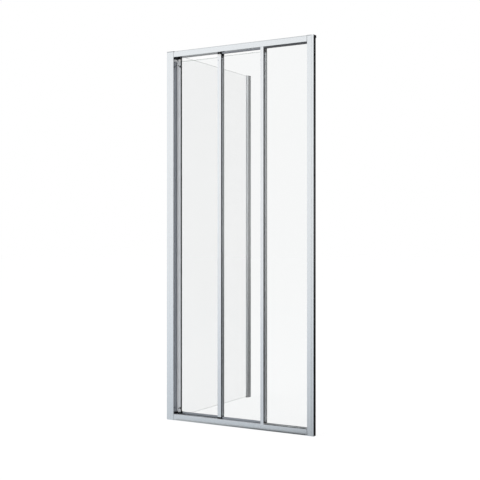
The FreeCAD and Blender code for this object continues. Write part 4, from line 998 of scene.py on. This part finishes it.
@dataclass
class Card:
    """A plain card around the enclosure that shows only in reflections, shaded along one direction.

    Lengths are in metres and turns in degrees. Each tone is a distance along the shading and a grey, which
    the tint colours.
    """

    name: str
    middle: Vector
    width: float
    height: float
    tilt: float
    facing: float
    along: Vector
    tones: tuple[tuple[float, float], ...]
    tint: tuple[float, float, float] = (1.0, 1.0, 1.0)

    def build(self) -> None:
        """Makes the card and puts it in its place."""
        mesh = make_sheet(1, 1, self.width, self.height)
        lift = Matrix.Rotation(math.radians(self.tilt), 4, "X")
        turn = Matrix.Translation(self.middle) @ Matrix.Rotation(math.radians(self.facing), 4, "Z")
        bmesh.ops.transform(mesh, matrix=turn @ lift, verts=mesh.verts[:])
        card = make_object(self.name, mesh, self._material())
        card.visible_camera = False
        card.visible_diffuse = False
        card.visible_shadow = False

    def _material(self) -> bpy.types.Material:
        """Makes the card's shaded grey, which is there for metal alone: a pane reflects the white room.

        Returns:
            The material.
        """
        material = bpy.data.materials.new(self.name)
        material.use_nodes = True
        board = Board(material.node_tree)
        material.node_tree.nodes.remove(material.node_tree.nodes["Principled BSDF"])
        first = self.tones[0][0]
        last = self.tones[-1][0]
        place = board.place("TexCoord")
        reach = board.place("MapRange")
        board.wire(board.along(place.outputs["Object"], self.along), reach.inputs["Value"])
        reach.inputs["From Min"].default_value = first
        reach.inputs["From Max"].default_value = last
        ramp = board.place("ValToRGB")
        board.wire(reach.outputs["Result"], ramp.inputs["Fac"])
        steps = ramp.color_ramp.elements
        while len(steps) < len(self.tones):
            steps.new(0.5)
        for step, (distance, grey) in zip(steps, self.tones):
            step.position = (distance - first) / (last - first)
            step.color = (*(grey * part for part in self.tint), 1)
        glow = board.place("Emission")
        board.wire(ramp.outputs["Color"], glow.inputs["Color"])
        path = board.place("LightPath")
        nothing = board.place("BsdfTransparent")
        mirrored = board.sum("GREATER_THAN", path.outputs["Glossy Depth"], 0.5)
        pane = board.sum("MULTIPLY", path.outputs["Is Singular Ray"], path.outputs["Is Reflection Ray"])
        shown = board.sum("SUBTRACT", mirrored, pane)
        board.surface(shown, nothing.outputs["BSDF"], glow.outputs["Emission"])
        return material


@dataclass
class Studio:
    """A white room with soft light from the upper left, a pale floor and the camera. Lengths in metres."""

    camera_place: Vector = Vector((2.2968, -4.3050, 0.9104))
    camera_turn: float = 30.28
    lens: float = 70.49
    sensor: float = 36.0
    shift: float = -0.003
    ambient: float = 0.95
    floor_radius: float = 40.0
    floor_segments: int = 96
    floor_drop: float = 0.0008
    floor_white: float = 1.065
    floor_share: float = 0.85
    floor_grey: float = 0.68
    key_place: Vector = Vector((-2.4, -3.0, 6.4))
    key_aim: Vector = Vector((0, 0, 0.9))
    key_size: float = 4.0
    key_power: float = 210.0

    def build(self) -> None:
        """Sets the room, the light, the cards and the camera."""
        scene = bpy.context.scene
        scene.view_settings.view_transform = "Standard"
        self._world()
        self._floor()
        self._key()
        for card in self._cards():
            card.build()
        self._camera()

    def _seen(self, board: Board) -> bpy.types.NodeSocket:
        """Tells where the camera, a gloss or a pane looks straight at a surface.

        Args:
            board: The nodes of the surface.

        Returns:
            The output that is 1 there, and else 0.
        """
        path = board.place("LightPath")
        near = board.sum("MAXIMUM", path.outputs["Is Camera Ray"], path.outputs["Is Glossy Ray"])
        return board.sum("MAXIMUM", near, path.outputs["Is Transmission Ray"])

    def _world(self) -> None:
        """Makes the room white to look at, and softer as a light."""
        world = bpy.data.worlds.new("white_room")
        world.use_nodes = True
        bpy.context.scene.world = world
        board = Board(world.node_tree)
        sky = world.node_tree.nodes["Background"]
        sky.inputs["Color"].default_value = (1, 1, 1, 1)
        extra = board.sum("MULTIPLY", self._seen(board), 1 - self.ambient)
        board.wire(board.sum("ADD", extra, self.ambient), sky.inputs["Strength"])

    def _floor(self) -> None:
        """Lays a pale round floor that keeps a faint shadow."""
        mesh = bmesh.new()
        bmesh.ops.create_circle(mesh, cap_ends=True, segments=self.floor_segments, radius=self.floor_radius)
        bmesh.ops.translate(mesh, verts=mesh.verts[:], vec=(0, 0, -self.floor_drop))
        material = bpy.data.materials.new("floor_white")
        material.use_nodes = True
        board = Board(material.node_tree)
        material.node_tree.nodes.remove(material.node_tree.nodes["Principled BSDF"])
        matt = board.place("BsdfDiffuse")
        matt.inputs["Color"].default_value = (self.floor_grey, self.floor_grey, self.floor_grey, 1)
        glow = board.place("Emission")
        glow.inputs["Strength"].default_value = self.floor_white
        share = board.sum("MULTIPLY", self._seen(board), self.floor_share)
        board.surface(share, matt.outputs["BSDF"], glow.outputs["Emission"])
        make_object("floor", mesh, material)

    def _key(self) -> None:
        """Hangs a soft square light at the upper left of the front."""
        data = bpy.data.lights.new("soft_light", "AREA")
        data.energy = self.key_power
        data.size = self.key_size
        lamp = bpy.data.objects.new("soft_light", data)
        lamp.location = self.key_place
        aim = self.key_aim - self.key_place
        lamp.rotation_euler = aim.to_track_quat("-Z", "Y").to_euler()
        lamp.visible_glossy = False
        bpy.context.scene.collection.objects.link(lamp)

    def _cards(self) -> list[Card]:
        """Lists the grey cards that the metal reflects: five stand around it, three lie below, one above.

        Returns:
            The cards, not yet built.
        """
        upward = Vector((0, 0, 1))
        rightward = Vector((1, 0, 0))
        return [
            Card("card_front_left", Vector((-4.6, -7.4, 3.0)), width=7.0, height=6.0, tilt=90.0,
                 facing=-30.0, along=upward, tones=((0.0, 0.93), (0.9, 0.96), (2.0, 1.0), (3.2, 1.0))),
            Card("card_front_right", Vector((4.4, -6.2, 3.0)), width=5.0, height=6.0, tilt=90.0, facing=38.0,
                 along=upward, tones=((0.0, 0.6), (0.9, 0.85), (4.8, 0.9))),
            Card("card_right", Vector((5.6, 0.0, 3.0)), width=9.0, height=6.0, tilt=90.0, facing=90.0,
                 along=upward, tones=((0.0, 0.1), (0.9, 0.26), (4.8, 0.3))),
            Card("card_back_right", Vector((3.2, 5.4, 3.0)), width=8.0, height=6.0, tilt=90.0, facing=-25.0,
                 along=upward, tones=((0.0, 0.04), (0.9, 0.26), (2.6, 0.1), (4.8, 0.05))),
            Card("card_back_left", Vector((-3.4, 5.4, 3.0)), width=7.0, height=6.0, tilt=90.0, facing=25.0,
                 along=upward, tones=((0.0, 0.4), (4.8, 0.42))),
            Card("card_floor_front", Vector((0, -6.4, -0.0004)), width=24.0, height=12.0, tilt=0.0,
                 facing=0.0, along=rightward,
                 tones=((-6.0, 0.92), (-2.5, 0.85), (-0.8, 0.72), (0.1, 0.62), (0.4, 0.48), (0.6, 0.01),
                        (3.0, 0.02), (6.0, 0.06)),
                 tint=(0.95, 1.0, 1.05)),
            # Painted shadow: a dark strip on the floor just before the rail, which the rail's foot reflects
            # as its contact shadow.
            Card("card_contact_shadow", Vector((-0.0015, -0.42, -0.0003)), width=0.735, height=0.034,
                 tilt=0.0, facing=0.0, along=rightward,
                 tones=((-0.37, 0.42), (-0.1, 0.22), (0.1, 0.05), (0.37, 0.0))),
            Card("card_floor_back", Vector((0, 5.6, -0.0004)), width=24.0, height=12.0, tilt=0.0, facing=0.0,
                 along=rightward,
                 tones=((-6.0, 0.48), (-3.0, 0.4), (-0.5, 0.16), (-0.2, 0.08), (0.5, 0.04), (6.0, 0.03))),
            Card("card_ceiling", Vector((-2.0, -0.5, 6.2)), width=14.0, height=14.0, tilt=0.0, facing=0.0,
                 along=rightward, tones=((-6.0, 0.78), (-2.6, 0.74), (-1.6, 0.54), (4.0, 0.5))),
        ]

    def _camera(self) -> None:
        """Places the camera where the picture was taken from."""
        data = bpy.data.cameras.new("camera")
        data.sensor_width = self.sensor
        data.lens = self.lens
        data.shift_y = self.shift
        camera = bpy.data.objects.new("camera", data)
        camera.location = self.camera_place
        camera.rotation_euler = (math.radians(90), 0, math.radians(self.camera_turn))
        bpy.context.scene.collection.objects.link(camera)
        bpy.context.scene.camera = camera


def main() -> None:
    """Dresses the enclosure, one sub-assembly after the other, and sets the studio around it."""
    logging.basicConfig(level=logging.INFO, format="%(message)s")
    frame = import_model()
    pieces = frame["nodes"]
    # The inner leaf's screws get the steel darkened as painted shade.
    inner = SlidingLeaf("inner", "inner_leaf", lead=SATIN_ALUMINIUM, trail=ALUMINIUM, screws=SHADED_STEEL,
                        trim=Trim.CATCHES)
    middle = SlidingLeaf("middle", "middle_leaf", lead=STILE_ALUMINIUM, trail=SIDE_ALUMINIUM,
                         screws=STILE_ALUMINIUM, trim=Trim.LIP)
    front = FrontFrame()
    for assembly in [front, FixedPane(), SidePane(), inner, middle]:
        assembly.dress(pieces)
    for assembly in [front, inner, middle]:
        assembly.build()
    Studio().build()


if __name__ == "__main__":
    main()
